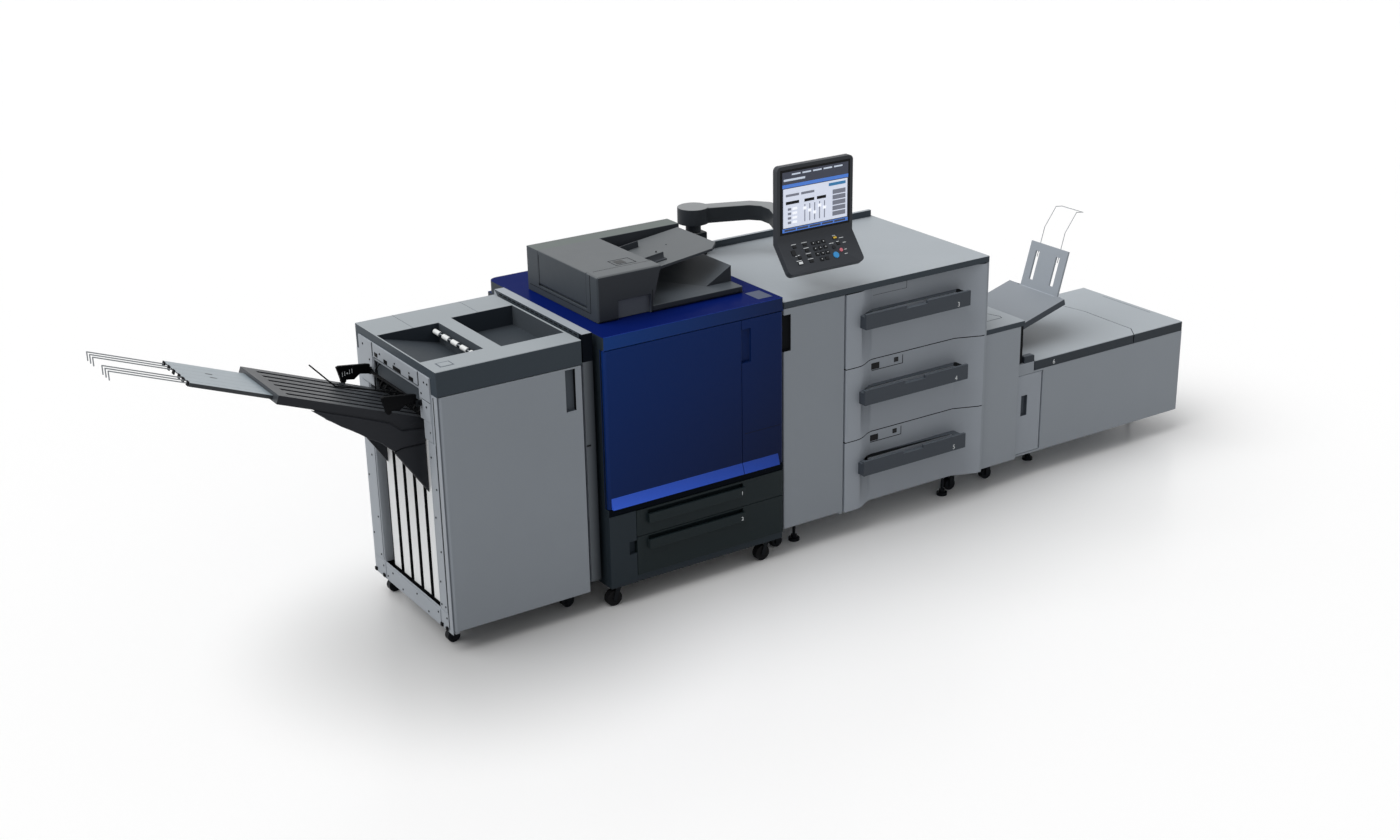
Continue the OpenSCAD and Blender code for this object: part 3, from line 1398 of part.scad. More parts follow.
module bypass_tray() placed() color("#5d6468") bypass_frame() {
  half = bypass_t / 2;
  flap_out = [flap_y - 2 * slide_gap - flap_ear_t, flap_y + flap_w + 2 * slide_gap];
  difference() {
    union() {
      rod_y(0, 0, half, bypass_y, bypass_y + bypass_w);
      span([0, bypass_y, -half], [bypass_len, bypass_y + bypass_w, half]);
      rod_y(0, 0, bypass_pin_r, bypass_y - bypass_ear, bypass_y + bypass_w + bypass_ear);
      // Ears of the extension
      for (y = flap_out) {
        span([bypass_len - seam, y, flap_pivot_z - flap_ear_r], [flap_pivot_x, y + flap_ear_t,
          flap_pivot_z + flap_ear_r]);
        rod_y(flap_pivot_x, flap_pivot_z, flap_ear_r, y, y + flap_ear_t);
      }
    }
    // Hollow underside
    span([half + skin, bypass_y + skin, -half - cut],
      [bypass_len - skin - flap_relief[0], bypass_y + bypass_w - skin, half - skin]);
    // Bevelled end that lets the extension fold over the tray
    profile_y(flap_y - slide_gap, flap_y + flap_w + slide_gap)
      polygon([[bypass_len, half - flap_relief[1]], [bypass_len - flap_relief[0], half],
        [bypass_len - flap_relief[0], half + cut], [bypass_len + cut, half + cut],
        [bypass_len + cut, half - flap_relief[1]]]);
    for (y = flap_out)
      rod_y(flap_pivot_x, flap_pivot_z, flap_pin_r + pin_fit, y - cut, y + flap_ear_t + cut);
  }
}

// Frame of the bypass extension: Z runs up along it
module flap_frame() {
  bypass_frame() translate([flap_pivot_x, 0, flap_pivot_z]) rotate([0, bypass_slope + flap_lean, 0])
    children();
}

module bypass_extension() placed() color("#565d61") flap_frame() difference() {
  union() {
    span([-flap_t / 2, flap_y, 0], [flap_t / 2, flap_y + flap_w, flap_len]);
    rod_y(0, 0, flap_ear_r, flap_y, flap_y + flap_w);
    rod_y(0, 0, flap_pin_r, flap_y - flap_ear_t, flap_y + flap_w + flap_ear_t);
  }
  for (y = flap_wire_y) {
    span([-flap_t, y - flap_slot_w / 2, flap_slot_low],
      [flap_t, y + flap_slot_w / 2, flap_len - flap_rib]);
    translate([0, y, flap_slot_low]) cylinder(r = loop_r + pin_fit, h = flap_len);
  }
}

// Frames along the bent wires: after the first bend, and at their hooked tips
module loop_frame(y) {
  translate([0, y, flap_len + loop_len_1]) rotate([0, loop_turn_1, 0]) children();
}

module hook_frame(y) {
  loop_frame(y) translate([0, 0, loop_len_2]) rotate([0, loop_turn_2, 0]) children();
}

module bypass_wire() placed() color("#7d8488") flap_frame() {
  for (y = flap_wire_y) {
    translate([0, y, flap_len - loop_in]) cylinder(r = loop_r, h = loop_in + loop_len_1 + loop_r / 2);
    loop_frame(y) translate([0, 0, -loop_r])
      cylinder(r = loop_r * loop_thin, h = loop_len_2 + 2 * loop_r);
    hook_frame(y) translate([0, 0, -loop_r]) cylinder(r = loop_r, h = loop_hook + loop_r);
  }
  // Bar that joins both wires
  hook_frame(0) translate([0, flap_wire_y[0] - 2 * loop_r, loop_hook]) rotate([-90, 0, 0])
    cylinder(r = loop_r * loop_thick, h = flap_wire_y[1] - flap_wire_y[0] + 4 * loop_r);
}

module magazine_cabinet() placed() color("#737a81") {
  bay_x1 = lu_x + lu_door_w + 2 * seam;
  open_y = lu_y + door_t + door_gap;
  hinge_x = lu_x + lu_door_w - door_t / 2;
  ear_y = lid_axis_y - lid_ear_r;
  difference() {
    union() {
      span([lu_x, lu_y, lu_z], [lu_x1, lu_y1, lu_body_z1]);
      span([lu_x, lu_y, lu_body_z1], [lid_x - lid_gap, lu_y1, lu_h]);
      // Docking plate
      span([tower_x1, open_y + lug, lu_z + sheet],
        [lu_x + seam, lu_y1 - lug, lu_z + dock_pad_h]);
    }
    // Recess of the narrow door and the room behind it
    span([lu_x - cut, lu_y - cut, lu_z + pin_len], [bay_x1, open_y, lu_body_z1 - lug / 2]);
    span([lu_x + sheet, open_y - cut, lu_z + sheet], [bay_x1, lu_y1 - sheet, lu_h - sheet]);
    // Paper bin, open to the lids
    span([bay_x1 + sheet, lu_y + sheet, lu_z + sheet], [lu_x1 - sheet, lu_y1 - sheet, lu_h]);
    for (z = [lu_z - cut, lu_body_z1 - lug])
      translate([hinge_x, lu_y + door_t / 2, z]) cylinder(r = pin_r + pin_fit, h = lug + cut);
  }
  // Hinge ears of the lids on the rear wall
  for (x = concat(left_ears, right_ears))
    profile_x(x, x + lid_ear_t) difference() {
      union() {
        translate([lid_axis_y, lid_axis_z]) circle(r = lid_ear_r);
        translate([ear_y, lu_body_z1 - seam]) square([2 * lid_ear_r, lid_pin_in + seam]);
        translate([ear_y, lu_body_z1 - lug]) square([lu_y1 - ear_y, lug]);
      }
      translate([lid_axis_y, lid_axis_z]) circle(r = lid_pin_r + pin_fit);
    }
  // Guide rails of the lift plate
  for (x = [bin_x, bin_x1])
    span([x - guide_rail / 2, lu_y + lu_d / 2, lu_z + sheet - seam],
      [x + guide_rail / 2, lu_y + lu_d / 2 + guide_rail, lu_body_z1 - lug]);
}

module magazine_door() placed() color("#7b8289")
  translate([lu_x + lu_door_w - door_t / 2, lu_y + door_t / 2, lu_z + pin_len + door_gap])
    mirror([1, 0, 0])
      pulled_door(lu_door_w, lu_body_z1 - lug / 2 - lu_z - pin_len - 2 * door_gap,
        lu_door_w - door_t / 2 - 2 * lu_pull_w, lu_pull_z - lu_z - pin_len - door_gap,
        lu_pull_w, lu_pull_h, 0);

// Lid over the paper bin: outline in plan, hollow from x0 to x1, notched round its hinge ears
module magazine_lid(outline, hollow, ears) {
  z0 = lu_body_z1 + slide_gap;
  difference() {
    translate([0, 0, z0]) linear_extrude(height = lu_h - z0) polygon(outline);
    span([hollow[0], lu_y + sheet, z0 - cut], [hollow[1], lid_axis_y - lug - sheet, lu_h - sheet]);
    // Rounded lower edge at the hinge
    profile_x(lid_x - cut, lu_x1 + cut) difference() {
      translate([lid_axis_y, z0 - cut]) square([lug + cut, lid_axis_z - z0 + cut]);
      translate([lid_axis_y, lid_axis_z]) circle(r = lid_axis_z - z0);
    }
    for (x = ears)
      span([x - key_gap, lid_axis_y - lug - 2 * sheet, z0 - cut],
        [x + lid_ear_t + key_gap, lu_y1 + cut, lu_h - sheet]);
  }
  for (x = ears) rod_x(lid_axis_y, lid_axis_z, lid_pin_r, x - seam, x + lid_ear_t + seam);
}

module magazine_left_lid() placed() color("#8e959b")
  magazine_lid(concat([[lid_x, lu_y]], split_line, [[lid_x, lu_y1]]),
    [lid_x + sheet, lid_split_x - split_clear], left_ears);

module magazine_right_lid() placed() color("#8e959b")
  magazine_lid(concat([[lu_x1, lu_y]], [for (p = split_line) [p[0] + lid_gap, p[1]]], [[lu_x1, lu_y1]]),
    [lid_split_x + split_clear, lu_x1 - sheet], right_ears);

module lift_plate() placed() color("#9aa0a5") difference() {
  rail_y = lu_y + lu_d / 2;
  span([bin_x, bin_y, lift_z], [bin_x1, bin_y1, lift_z + lift_t]);
  for (x = [bin_x, bin_x1])
    span([x - guide_rail / 2 - slide_gap, rail_y - slide_gap, lift_z - cut],
      [x + guide_rail / 2 + slide_gap, rail_y + guide_rail + slide_gap, lift_z + lift_t + cut]);
}

module levelling_feet() placed() color("#8f9498")
  for (f = feet)
    translate([f[0], f[1], 0]) {
      cylinder(r = foot_r, h = foot_h);
      cylinder(r = 2 * stud_r, h = 2 * foot_h);
      cylinder(r = stud_r, h = f[2]);
    }

module cabinet_casters() placed() color("#1d1e20") {
  out = wheel_w / 2 + fork_in;
  for (c = fixed_casters)
    translate([c[0], c[1], 0]) {
      rod_y(0, small_wheel_r, small_wheel_r, -wheel_w / 2, wheel_w / 2);
      rod_y(0, small_wheel_r, axle_r, -out - fork_t, out + fork_t);
      for (y = [-out - fork_t, out])
        span([-axle_r * 2, y, small_wheel_r - axle_r * 2], [stem_r * 2, y + fork_t, c[2]]);
      span([-axle_r * 2, -out - fork_t, c[2] - hood_t], [stem_r * 2, out + fork_t, c[2]]);
    }
}

// Fork of a swivel caster; the wheel trails to -X of the stem
module caster_fork(c) {
  top = eng_base_z - slide_gap;
  out = wheel_w / 2 + fork_in;
  translate([c[0] + fork_trail, c[1], 0]) {
    translate([0, 0, top - hood_t]) cylinder(r = out + fork_t, h = hood_t);
    translate([0, 0, top - seam]) cylinder(r = stem_r, h = stem_len + seam);
    for (y = [-out - fork_t, out])
      profile_y(y, y + fork_t)
        polygon([[stem_r, top - hood_t / 2], [-2 * stem_r, top - hood_t / 2],
          [-fork_trail - 2 * axle_r, wheel_r], [-fork_trail - axle_r, wheel_r - 2 * axle_r],
          [axle_r - fork_trail, wheel_r - 2 * axle_r]]);
    rod_y(-fork_trail, wheel_r + wheel_lift, axle_r, -out - fork_t, out + fork_t);
  }
}

module caster_wheel(c) {
  difference() {
    rod_y(c[0], wheel_r + wheel_lift, wheel_r, c[1] - wheel_w / 2, c[1] + wheel_w / 2);
    rod_y(c[0], wheel_r + wheel_lift, axle_r + pin_fit, c[1] - wheel_w, c[1] + wheel_w);
  }
}

module left_caster_fork() placed() color("#1d1e20") caster_fork(caster_left);

module left_caster_wheel() placed() color("#101112") caster_wheel(caster_left);

module right_caster_fork() placed() color("#1d1e20") caster_fork(caster_right);

module right_caster_wheel() placed() color("#101112") caster_wheel(caster_right);

finisher_frame();
finisher_top();
finisher_door();
finisher_end_plate();
stack_slats();
exit_roller();
pocket_roller();
output_tray();
tray_extension();
tray_wires();
paper_arms();
relay_unit();
engine_frame();
engine_covers();
engine_top();
engine_left_door();
engine_right_door();
tray_1();
tray_2();
imaging_drums();
transfer_belt();
toner_bottles();
fuser_roller();
pressure_roller();
platen_glass();
scan_carriage();
feeder_base();
feeder_cover();
document_tray();
guide_front();
guide_rear();
arm_post();
swing_arm();
panel_housing();
panel_screen();
start_key();
stop_key();
keypad_keys();
feed_cabinet();
feed_top();
feed_door();
drawer_3();
drawer_4();
drawer_5();
tower_cabinet();
tower_top();
bypass_tray();
bypass_extension();
bypass_wire();
magazine_cabinet();
magazine_door();
magazine_left_lid();
magazine_right_lid();
lift_plate();
levelling_feet();
cabinet_casters();
left_caster_fork();
left_caster_wheel();
right_caster_fork();
right_caster_wheel();
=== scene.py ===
"""Dressed model of a digital production printer line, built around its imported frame."""
import json
import math

import bmesh
import bpy
from mathutils import Matrix, Vector


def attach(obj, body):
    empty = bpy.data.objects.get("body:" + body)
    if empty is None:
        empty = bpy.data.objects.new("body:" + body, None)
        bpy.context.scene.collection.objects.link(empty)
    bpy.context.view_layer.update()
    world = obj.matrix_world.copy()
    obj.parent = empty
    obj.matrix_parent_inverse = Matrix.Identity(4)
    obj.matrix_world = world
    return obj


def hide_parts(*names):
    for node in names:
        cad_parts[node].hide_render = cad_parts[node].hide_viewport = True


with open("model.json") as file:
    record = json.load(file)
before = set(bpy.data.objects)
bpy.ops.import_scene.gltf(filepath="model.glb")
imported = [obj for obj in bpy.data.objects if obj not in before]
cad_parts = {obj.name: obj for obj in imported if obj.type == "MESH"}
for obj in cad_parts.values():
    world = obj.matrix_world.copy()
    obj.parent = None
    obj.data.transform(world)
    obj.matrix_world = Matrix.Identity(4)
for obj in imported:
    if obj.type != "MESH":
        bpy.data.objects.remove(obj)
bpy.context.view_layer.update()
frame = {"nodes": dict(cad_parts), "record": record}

MM = 0.001
# Middle of the line in the workshop drawing, whose zero is the engine's left front foot
MID_X, MID_Y = 649.843, 409.0
BODY_OF = {n: b for b, ns in frame["record"]["behaviour"]["bodies"].items() for n in ns}


# ---------------------------------------------------------------- places
def at(x, y, z):
    """Point of the drawing, in millimetres, as a place in the frame."""
    return Vector(((x - MID_X) * MM, (y - MID_Y) * MM, z * MM))


def drawn(p):
    """Place in the frame as drawing millimetres."""
    return Vector((p[0] / MM + MID_X, p[1] / MM + MID_Y, p[2] / MM))


def pick_only(obj):
    """Deselects everything and makes one object active."""
    bpy.ops.object.select_all(action="DESELECT")
    obj.select_set(True)
    bpy.context.view_layer.objects.active = obj
    return obj


def settle(obj):
    """Bakes an object's place, turn and size into its mesh."""
    pick_only(obj)
    bpy.ops.object.transform_apply(location=True, rotation=True, scale=True)
    return obj


# ---------------------------------------------------------------- finishes
def srgb(r, g, b, a=1.0):
    """Screen colour from 0 to 255 as the linear colour that nodes take."""
    def linear(v):
        return v / 12.92 if v <= 10 / 255 else ((v + 0.055) / 1.055) ** 2.4
    return (linear(r / 255), linear(g / 255), linear(b / 255), a)


def new_group(name, inputs, outputs):
    """Empty node group with named sockets: (name, kind, default)."""
    group = bpy.data.node_groups.new(name, "ShaderNodeTree")
    for label, kind, value in inputs:
        s = group.interface.new_socket(name=label, in_out="INPUT", socket_type=kind)
        s.default_value = value
    for label, kind in outputs:
        group.interface.new_socket(name=label, in_out="OUTPUT", socket_type=kind)
    return group, group.nodes.new("NodeGroupInput"), group.nodes.new("NodeGroupOutput")


def put(tree, kind, settings=None, **sockets):
    """Adds a node; sockets go by name, or by place as i0 and so on, each a value or an output."""
    node = tree.nodes.new(kind)
    for key, value in (settings or {}).items():
        setattr(node, key, value)
    for key, value in sockets.items():
        numbered = key[0] == "i" and key[1:].isdigit()
        slot = node.inputs[int(key[1:]) if numbered else key.replace("_", " ")]
        if isinstance(value, bpy.types.NodeSocket):
            tree.links.new(value, slot)
        else:
            slot.default_value = value
    return node


def count_on(tree, operation, *values, clamp=False):
    """Result of a sum, product or the like of numbers and outputs."""
    sockets = {f"i{place}": value for place, value in enumerate(values)}
    settings = {"operation": operation, "use_clamp": clamp}
    return put(tree, "ShaderNodeMath", settings, **sockets).outputs[0]


def count_vectors(tree, operation, *values, result=0, **sockets):
    """The same for vectors and colours; result is the output to take."""
    sockets.update({f"i{place}": value for place, value in enumerate(values)})
    return put(tree, "ShaderNodeVectorMath", {"operation": operation}, **sockets).outputs[result]


def spread(tree, value, low, high, new_low, new_high, **settings):
    """Value carried over from one range to another."""
    return put(tree, "ShaderNodeMapRange", settings, i0=value, i1=low, i2=high, i3=new_low,
               i4=new_high).outputs[0]


def blend(tree, share, first, second):
    """Mix of two colours."""
    return put(tree, "ShaderNodeMix", {"data_type": "RGBA"}, i0=share, i6=first,
               i7=second).outputs[2]


def noise(tree, place, **sockets):
    """Grey noise at a place."""
    return put(tree, "ShaderNodeTexNoise", Vector=place, **sockets).outputs["Fac"]


def object_place(tree):
    """Place of a point in the piece's own units, which are the frame's metres."""
    return put(tree, "ShaderNodeTexCoord").outputs["Object"]


def new_material(name):
    """Empty material and its node tree."""
    m = bpy.data.materials.new(name)
    m.use_nodes = True
    m.node_tree.nodes.clear()
    return m, m.node_tree


SURFACE = [("Color", "NodeSocketColor"), ("Roughness", "NodeSocketFloat"),
           ("Normal", "NodeSocketVector")]


def end_group(g, go, colour, rough, height, strength, distance):
    """Links a surface group's colour, roughness and the relief of its grain to its outputs."""
    bump = put(g, "ShaderNodeBump", Strength=strength, Distance=distance, Height=height)
    for label, value in (("Color", colour), ("Roughness", rough), ("Normal", bump.outputs[0])):
        g.links.new(value, go.inputs[label])
    return g


def build_cover_group():
    """Moulded or painted cover: fine grain, slow tone shift, light rub on edges, faint smears."""
    g, gi, go = new_group("cover_finish",
        [("Color", "NodeSocketColor", (0.5, 0.5, 0.5, 1)), ("Tone", "NodeSocketFloat", 0.05),
         ("Rough", "NodeSocketFloat", 0.5), ("Smear", "NodeSocketFloat", 0.08),
         ("Grain Scale", "NodeSocketFloat", 900.0), ("Grain Depth", "NodeSocketFloat", 0.1),
         ("Rub", "NodeSocketFloat", 0.2)], SURFACE)
    place = object_place(g)
    slow = noise(g, place, Scale=2.3, Detail=3.0, Roughness=0.55)
    fine = noise(g, place, Scale=gi.outputs["Grain Scale"], Detail=2.0)
    smear = noise(g, place, Scale=14.0, Detail=6.0, Roughness=0.7)
    tone = count_on(g, "SUBTRACT", slow, 0.5)
    tone = count_on(g, "MULTIPLY_ADD", tone, gi.outputs["Tone"], 1.0)
    speck = spread(g, fine, 0.3, 0.7, 0.97, 1.03)
    tone = count_on(g, "MULTIPLY", tone, speck)
    base = count_vectors(g, "SCALE", gi.outputs["Color"], Scale=tone)
    edge = put(g, "ShaderNodeNewGeometry").outputs["Pointiness"]
    edge = spread(g, edge, 0.52, 0.6, 0.0, 1.0)
    edge = count_on(g, "MULTIPLY", edge, smear)
    edge = count_on(g, "MULTIPLY", edge, gi.outputs["Rub"], clamp=True)
    light = count_vectors(g, "MULTIPLY_ADD", base, (1.5, 1.5, 1.5), (0.02, 0.02, 0.02))
    rough = count_on(g, "SUBTRACT", smear, 0.5)
    rough = count_on(g, "MULTIPLY_ADD", rough, gi.outputs["Smear"], gi.outputs["Rough"], clamp=True)
    worn = blend(g, edge, base, light)
    return end_group(g, go, worn, rough, fine, gi.outputs["Grain Depth"], 0.0004)


def build_brushed_group():
    """Rolled or plated metal: streaks along one direction and a few dull patches."""
    g, gi, go = new_group("rolled_metal",
        [("Color", "NodeSocketColor", (0.7, 0.7, 0.7, 1)), ("Rough", "NodeSocketFloat", 0.35),
         ("Stretch", "NodeSocketVector", (1, 1, 0.02)), ("Streak", "NodeSocketFloat", 0.1)],
        SURFACE)
    place = object_place(g)
    lined = count_vectors(g, "MULTIPLY", place, gi.outputs["Stretch"])
    streak = noise(g, lined, Scale=420.0, Detail=4.0)
    patch = noise(g, place, Scale=7.0, Detail=5.0, Roughness=0.65)
    both = count_on(g, "ADD", streak, patch)
    off = count_on(g, "SUBTRACT", both, 1.0)
    tone = count_on(g, "MULTIPLY_ADD", off, gi.outputs["Streak"], 1.0)
    base = count_vectors(g, "SCALE", gi.outputs["Color"], Scale=tone)
    rough = count_on(g, "MULTIPLY_ADD", off, 0.25, gi.outputs["Rough"], clamp=True)
    return end_group(g, go, base, rough, streak, 0.12, 0.0003)


COVER, ROLLED = build_cover_group(), build_brushed_group()
FINISH = {}


def keep_finish(name, m, principled):
    """Ends a material and files it under its name."""
    put(m.node_tree, "ShaderNodeOutputMaterial", Surface=principled.outputs[0])
    FINISH[name] = m


def cover(name, colour, rough=0.5, tone=0.1, smear=0.1, grain=900.0, depth=0.12, rub=0.25, coat=0.0,
          specular=0.5, fade=None):
    """Moulded or painted piece; the last, optional argument is a second colour, a direction and its
    near and far ends: a ramp that paints reflection and shade into the colour.
    """
    m, tree = new_material(name)
    g = put(tree, "ShaderNodeGroup", {"node_tree": COVER}, Color=srgb(*colour), Tone=tone,
            Rough=rough, Smear=smear, Grain_Scale=grain, Grain_Depth=depth, Rub=rub)
    # The ramp paints light and shade: a brighter and a darker colour blended along one direction.
    if fade:
        far_colour, direction, near, far = fade
        along = count_vectors(tree, "DOT_PRODUCT", object_place(tree), direction, result="Value")
        share = spread(tree, along, near, far, 0.0, 1.0)
        mixed = blend(tree, share, srgb(*colour), srgb(*far_colour))
        tree.links.new(mixed, g.inputs["Color"])
    p = put(tree, "ShaderNodeBsdfPrincipled", Base_Color=g.outputs["Color"],
            Roughness=g.outputs["Roughness"], Normal=g.outputs["Normal"], Metallic=0.0,
            Coat_Weight=coat, Coat_Roughness=0.12, Specular_IOR_Level=specular)
    m.diffuse_color = srgb(*colour)
    keep_finish(name, m, p)


def metal(name, colour, rough=0.35, stretch=(1, 1, 0.02), streak=0.12):
    """Rolled, ground or plated metal piece."""
    m, tree = new_material(name)
    g = put(tree, "ShaderNodeGroup", {"node_tree": ROLLED}, Color=srgb(*colour), Rough=rough,
            Stretch=stretch, Streak=streak)
    p = put(tree, "ShaderNodeBsdfPrincipled", Base_Color=g.outputs["Color"],
            Roughness=g.outputs["Roughness"], Normal=g.outputs["Normal"], Metallic=1.0)
    m.diffuse_color = srgb(*colour)
    keep_finish(name, m, p)


cover("grey_cover", (160, 167, 175), rough=0.48, specular=0.3)
cover("grey_front", (168, 175, 184), rough=0.45, specular=0.3)
cover("pale_top", (162, 169, 175), rough=0.5, specular=0.4)
cover("finisher_pale", (152, 159, 164), rough=0.5, specular=0.4)
cover("door_grey", (153, 160, 168), rough=0.45, specular=0.3)
cover("charcoal_band", (56, 65, 73), rough=0.5, specular=0.2)
cover("lid_band", (48, 55, 62), rough=0.5, specular=0.2)
# Near black for gaps, slits and seams, and also painted as shade inside recesses: the finisher's
# stacking room, the slats' front faces, the door pulls and the feed door's grip.
cover("dark_recess", (16, 18, 21), rough=0.7, specular=0.1)
# Greys of the chute and the finisher's pockets; the pockets' floors and the walls that face the
# front get darker copies as painted shade, and the darkest also draws a seam on the top.
cover("well_grey", (70, 76, 82), rough=0.6, specular=0.15)
cover("well_floor", (56, 62, 68), rough=0.6, specular=0.15)
cover("well_dark", (44, 51, 59), rough=0.6, specular=0.15)
# Painted reflection on the engine's navy covers: brighter towards the upper left, darker towards
# the lower right.
REFLECTION_SLANT, ACROSS = (0.66, 0.0, -0.78), (1.0, 0.0, 0.0)
cover("navy_cover", (14, 50, 118), rough=0.3, specular=0.08,
      fade=((10, 26, 66), REFLECTION_SLANT, -1.24, -0.3))
cover("navy_top", (8, 26, 92), rough=0.35, specular=0.006)
# Painted highlight along the rounded top front edge of the engine.
cover("edge_blue", (46, 78, 190), rough=0.3, specular=0.1)
cover("plate_blue", (70, 80, 104), rough=0.4, specular=0.15)
# Engine top's sides: blue with a painted reflection, brighter at the left end, darker at the right.
cover("bright_blue", (20, 66, 142), rough=0.3, specular=0.1,
      fade=((14, 36, 84), ACROSS, -0.65, 0.1))
# Door ledge: a lighter blue, partly its own tint and partly painted light on its upward slope, with
# a painted reflection from left to right.
cover("ledge_blue", (62, 108, 240), rough=0.3, specular=0.16,
      fade=((36, 74, 176), ACROSS, -0.65, 0.1))
# Near black navy: the lip under the door ledge, its own dark navy darkened further as painted shade
# under the ledge; also the relay unit's dark head.
cover("lip_blue", (2, 8, 18), rough=0.4, specular=0.03)
# Black of the engine frame, also painted as shade on the engine covers' end sides and on the top's
# left side, where they face the neighbouring units.
cover("engine_black", (42, 51, 58), rough=0.45, specular=0.14)
cover("tray_black", (28, 38, 41), rough=0.42, specular=0.14)
# The feeder's one grey in copies of different brightness by facing: lighter on the tops, painted
# shade on the front, the left end and the sides, and painted light inside the grip recess.
cover("feeder_grey", (97, 101, 104), rough=0.5, specular=0.25)
cover("feeder_side", (78, 84, 90), rough=0.5, specular=0.2)
cover("feeder_dark", (54, 58, 64), rough=0.5, specular=0.2)
cover("feeder_end", (62, 68, 74), rough=0.5, specular=0.2)
cover("feeder_front", (45, 49, 55), rough=0.5, specular=0.2)
cover("feeder_bar", (98, 106, 104), rough=0.5, specular=0.2)
cover("grip_grey", (100, 105, 112), rough=0.6, specular=0.15)
cover("arm_top", (134, 137, 139), rough=0.5, specular=0.3)
cover("arm_side", (46, 50, 54), rough=0.5, specular=0.15)
cover("post_dark", (32, 36, 40), rough=0.5, specular=0.12)
cover("panel_grey", (62, 65, 70), rough=0.45, specular=0.15)
cover("handle_grey", (94, 101, 109), rough=0.5, specular=0.2)
cover("drawer_handle", (70, 76, 84), rough=0.5, specular=0.2)
# Painted shade inside the door pulls, darker than the door grey.
cover("pull_grey", (84, 91, 99), rough=0.55, specular=0.15)
cover("white_slat", (246, 248, 249), rough=0.4, tone=0.04)
cover("white_tyre", (226, 228, 228), rough=0.6, grain=400, depth=0.25)
cover("black_tyre", (18, 18, 20), rough=0.75, grain=500, depth=0.3, specular=0.12)
cover("out_tray", (58, 61, 65), rough=0.4, specular=0.25)
cover("bracket_dark", (42, 44, 49), rough=0.45, specular=0.15)
cover("extension_grey", (150, 162, 170), rough=0.35)
cover("wire_grey", (150, 155, 160), rough=0.35, specular=0.5, tone=0.04)
cover("flap_grey", (158, 165, 173), rough=0.42, specular=0.3)
cover("bypass_grey", (136, 142, 149), rough=0.42, specular=0.3)
cover("black_lever", (12, 13, 15), rough=0.5, specular=0.04)
cover("drum_blue", (44, 92, 136), rough=0.2, coat=0.6)
cover("sleeve_brown", (96, 46, 34), rough=0.55)
cover("key_blue", (34, 148, 216), rough=0.3, coat=0.2, grain=1400)
cover("key_red", (222, 112, 128), rough=0.3, coat=0.2, grain=1400)
cover("key_dark", (26, 28, 31), rough=0.4, grain=1400, specular=0.2)
cover("ink_white", (232, 236, 238), rough=0.5, tone=0.02)
cover("zinc_plate", (162, 168, 175), rough=0.5, specular=0.3, tone=0.12, grain=500.0)
metal("sheet_steel", (206, 211, 215), rough=0.42)
metal("ground_steel", (176, 180, 184), rough=0.28, stretch=(1, 0.02, 1))
metal("black_metal", (30, 32, 35), rough=0.5, stretch=(1, 1, 1))


def build_glass():
    """Clear, slightly tinted pane of the scanner, with faint smears."""
    m, tree = new_material("pane_glass")
    patches = noise(tree, object_place(tree), Scale=30.0, Detail=4.0)
    rough = spread(tree, patches, 0.0, 1.0, 0.02, 0.08)
    p = put(tree, "ShaderNodeBsdfPrincipled", Base_Color=srgb(206, 232, 232), Roughness=rough,
            Transmission_Weight=1.0, IOR=1.5)
    keep_finish("pane_glass", m, p)


build_glass()

# ---------------------------------------------------------------- modelling
SMOOTH_TURN = math.radians(38)
ROUNDED_TURN = math.radians(28)
SHORTEST_EDGE = 2 * MM
ON_BOX = 0.6 * MM
LEAST_ROUNDING = 0.12 * MM
SHARE_OF_WALL = 0.42


def parallel_gap(face, edge):
    """Distance from an edge to the nearest edge of the face that runs beside it."""
    a, b = edge.verts[0].co, edge.verts[1].co
    run = b - a
    length = run.length
    run /= length
    best = 1e9
    for other in face.edges:
        if other is edge:
            continue
        c, d = other.verts[0].co - a, other.verts[1].co - a
        side = d - c
        if side.length < 1e-7 or abs(side.normalized().dot(run)) < 0.94:
            continue
        low, high = sorted((c.dot(run), d.dot(run)))
        if high < 0.05 * length or low > 0.95 * length:
            continue
        mid = (c + d) / 2
        gap = (mid - run * mid.dot(run)).length
        if gap > 1e-6:
            best = min(best, gap)
    return best


def soften(obj, outer, inner, steps=3):
    """Rounds the outward edges: outer for those on the piece's own box, inner for the rest.

    Thin walls get less.
    """
    bm = bmesh.new()
    bm.from_mesh(obj.data)
    layers = bm.edges.layers.float
    weight = layers.get("bevel_weight_edge") or layers.new("bevel_weight_edge")
    low = Vector(min(v.co[i] for v in bm.verts) for i in range(3))
    high = Vector(max(v.co[i] for v in bm.verts) for i in range(3))
    top = max(outer, inner) * MM
    for edge in bm.edges:
        if len(edge.link_faces) != 2 or edge.calc_length() < SHORTEST_EDGE or not edge.is_convex:
            continue
        if edge.calc_face_angle(0) < ROUNDED_TURN:
            continue
        mid = (edge.verts[0].co + edge.verts[1].co) / 2
        sides = sum(min(abs(mid[i] - low[i]), abs(mid[i] - high[i])) < ON_BOX for i in range(3))
        want = (outer if sides >= 2 else inner) * MM
        room = min(parallel_gap(f, edge) for f in edge.link_faces)
        want = min(want, SHARE_OF_WALL * room)
        if want > LEAST_ROUNDING:
            edge[weight] = want / top
    bm.to_mesh(obj.data)
    bm.free()
    round_off = obj.modifiers.new("edges", "BEVEL")
    round_off.width, round_off.segments = top, steps
    round_off.limit_method, round_off.use_clamp_overlap = "WEIGHT", False
    pick_only(obj)
    bpy.ops.object.modifier_apply(modifier=round_off.name)
    return smooth(obj)


def smooth(obj):
    """Smooth shading that keeps flat faces flat."""
    pick_only(obj)
    bpy.ops.object.shade_smooth_by_angle(angle=SMOOTH_TURN)
    even = obj.modifiers.new("even", "WEIGHTED_NORMAL")
    even.keep_sharp = True
    bpy.ops.object.modifier_apply(modifier=even.name)
    return obj


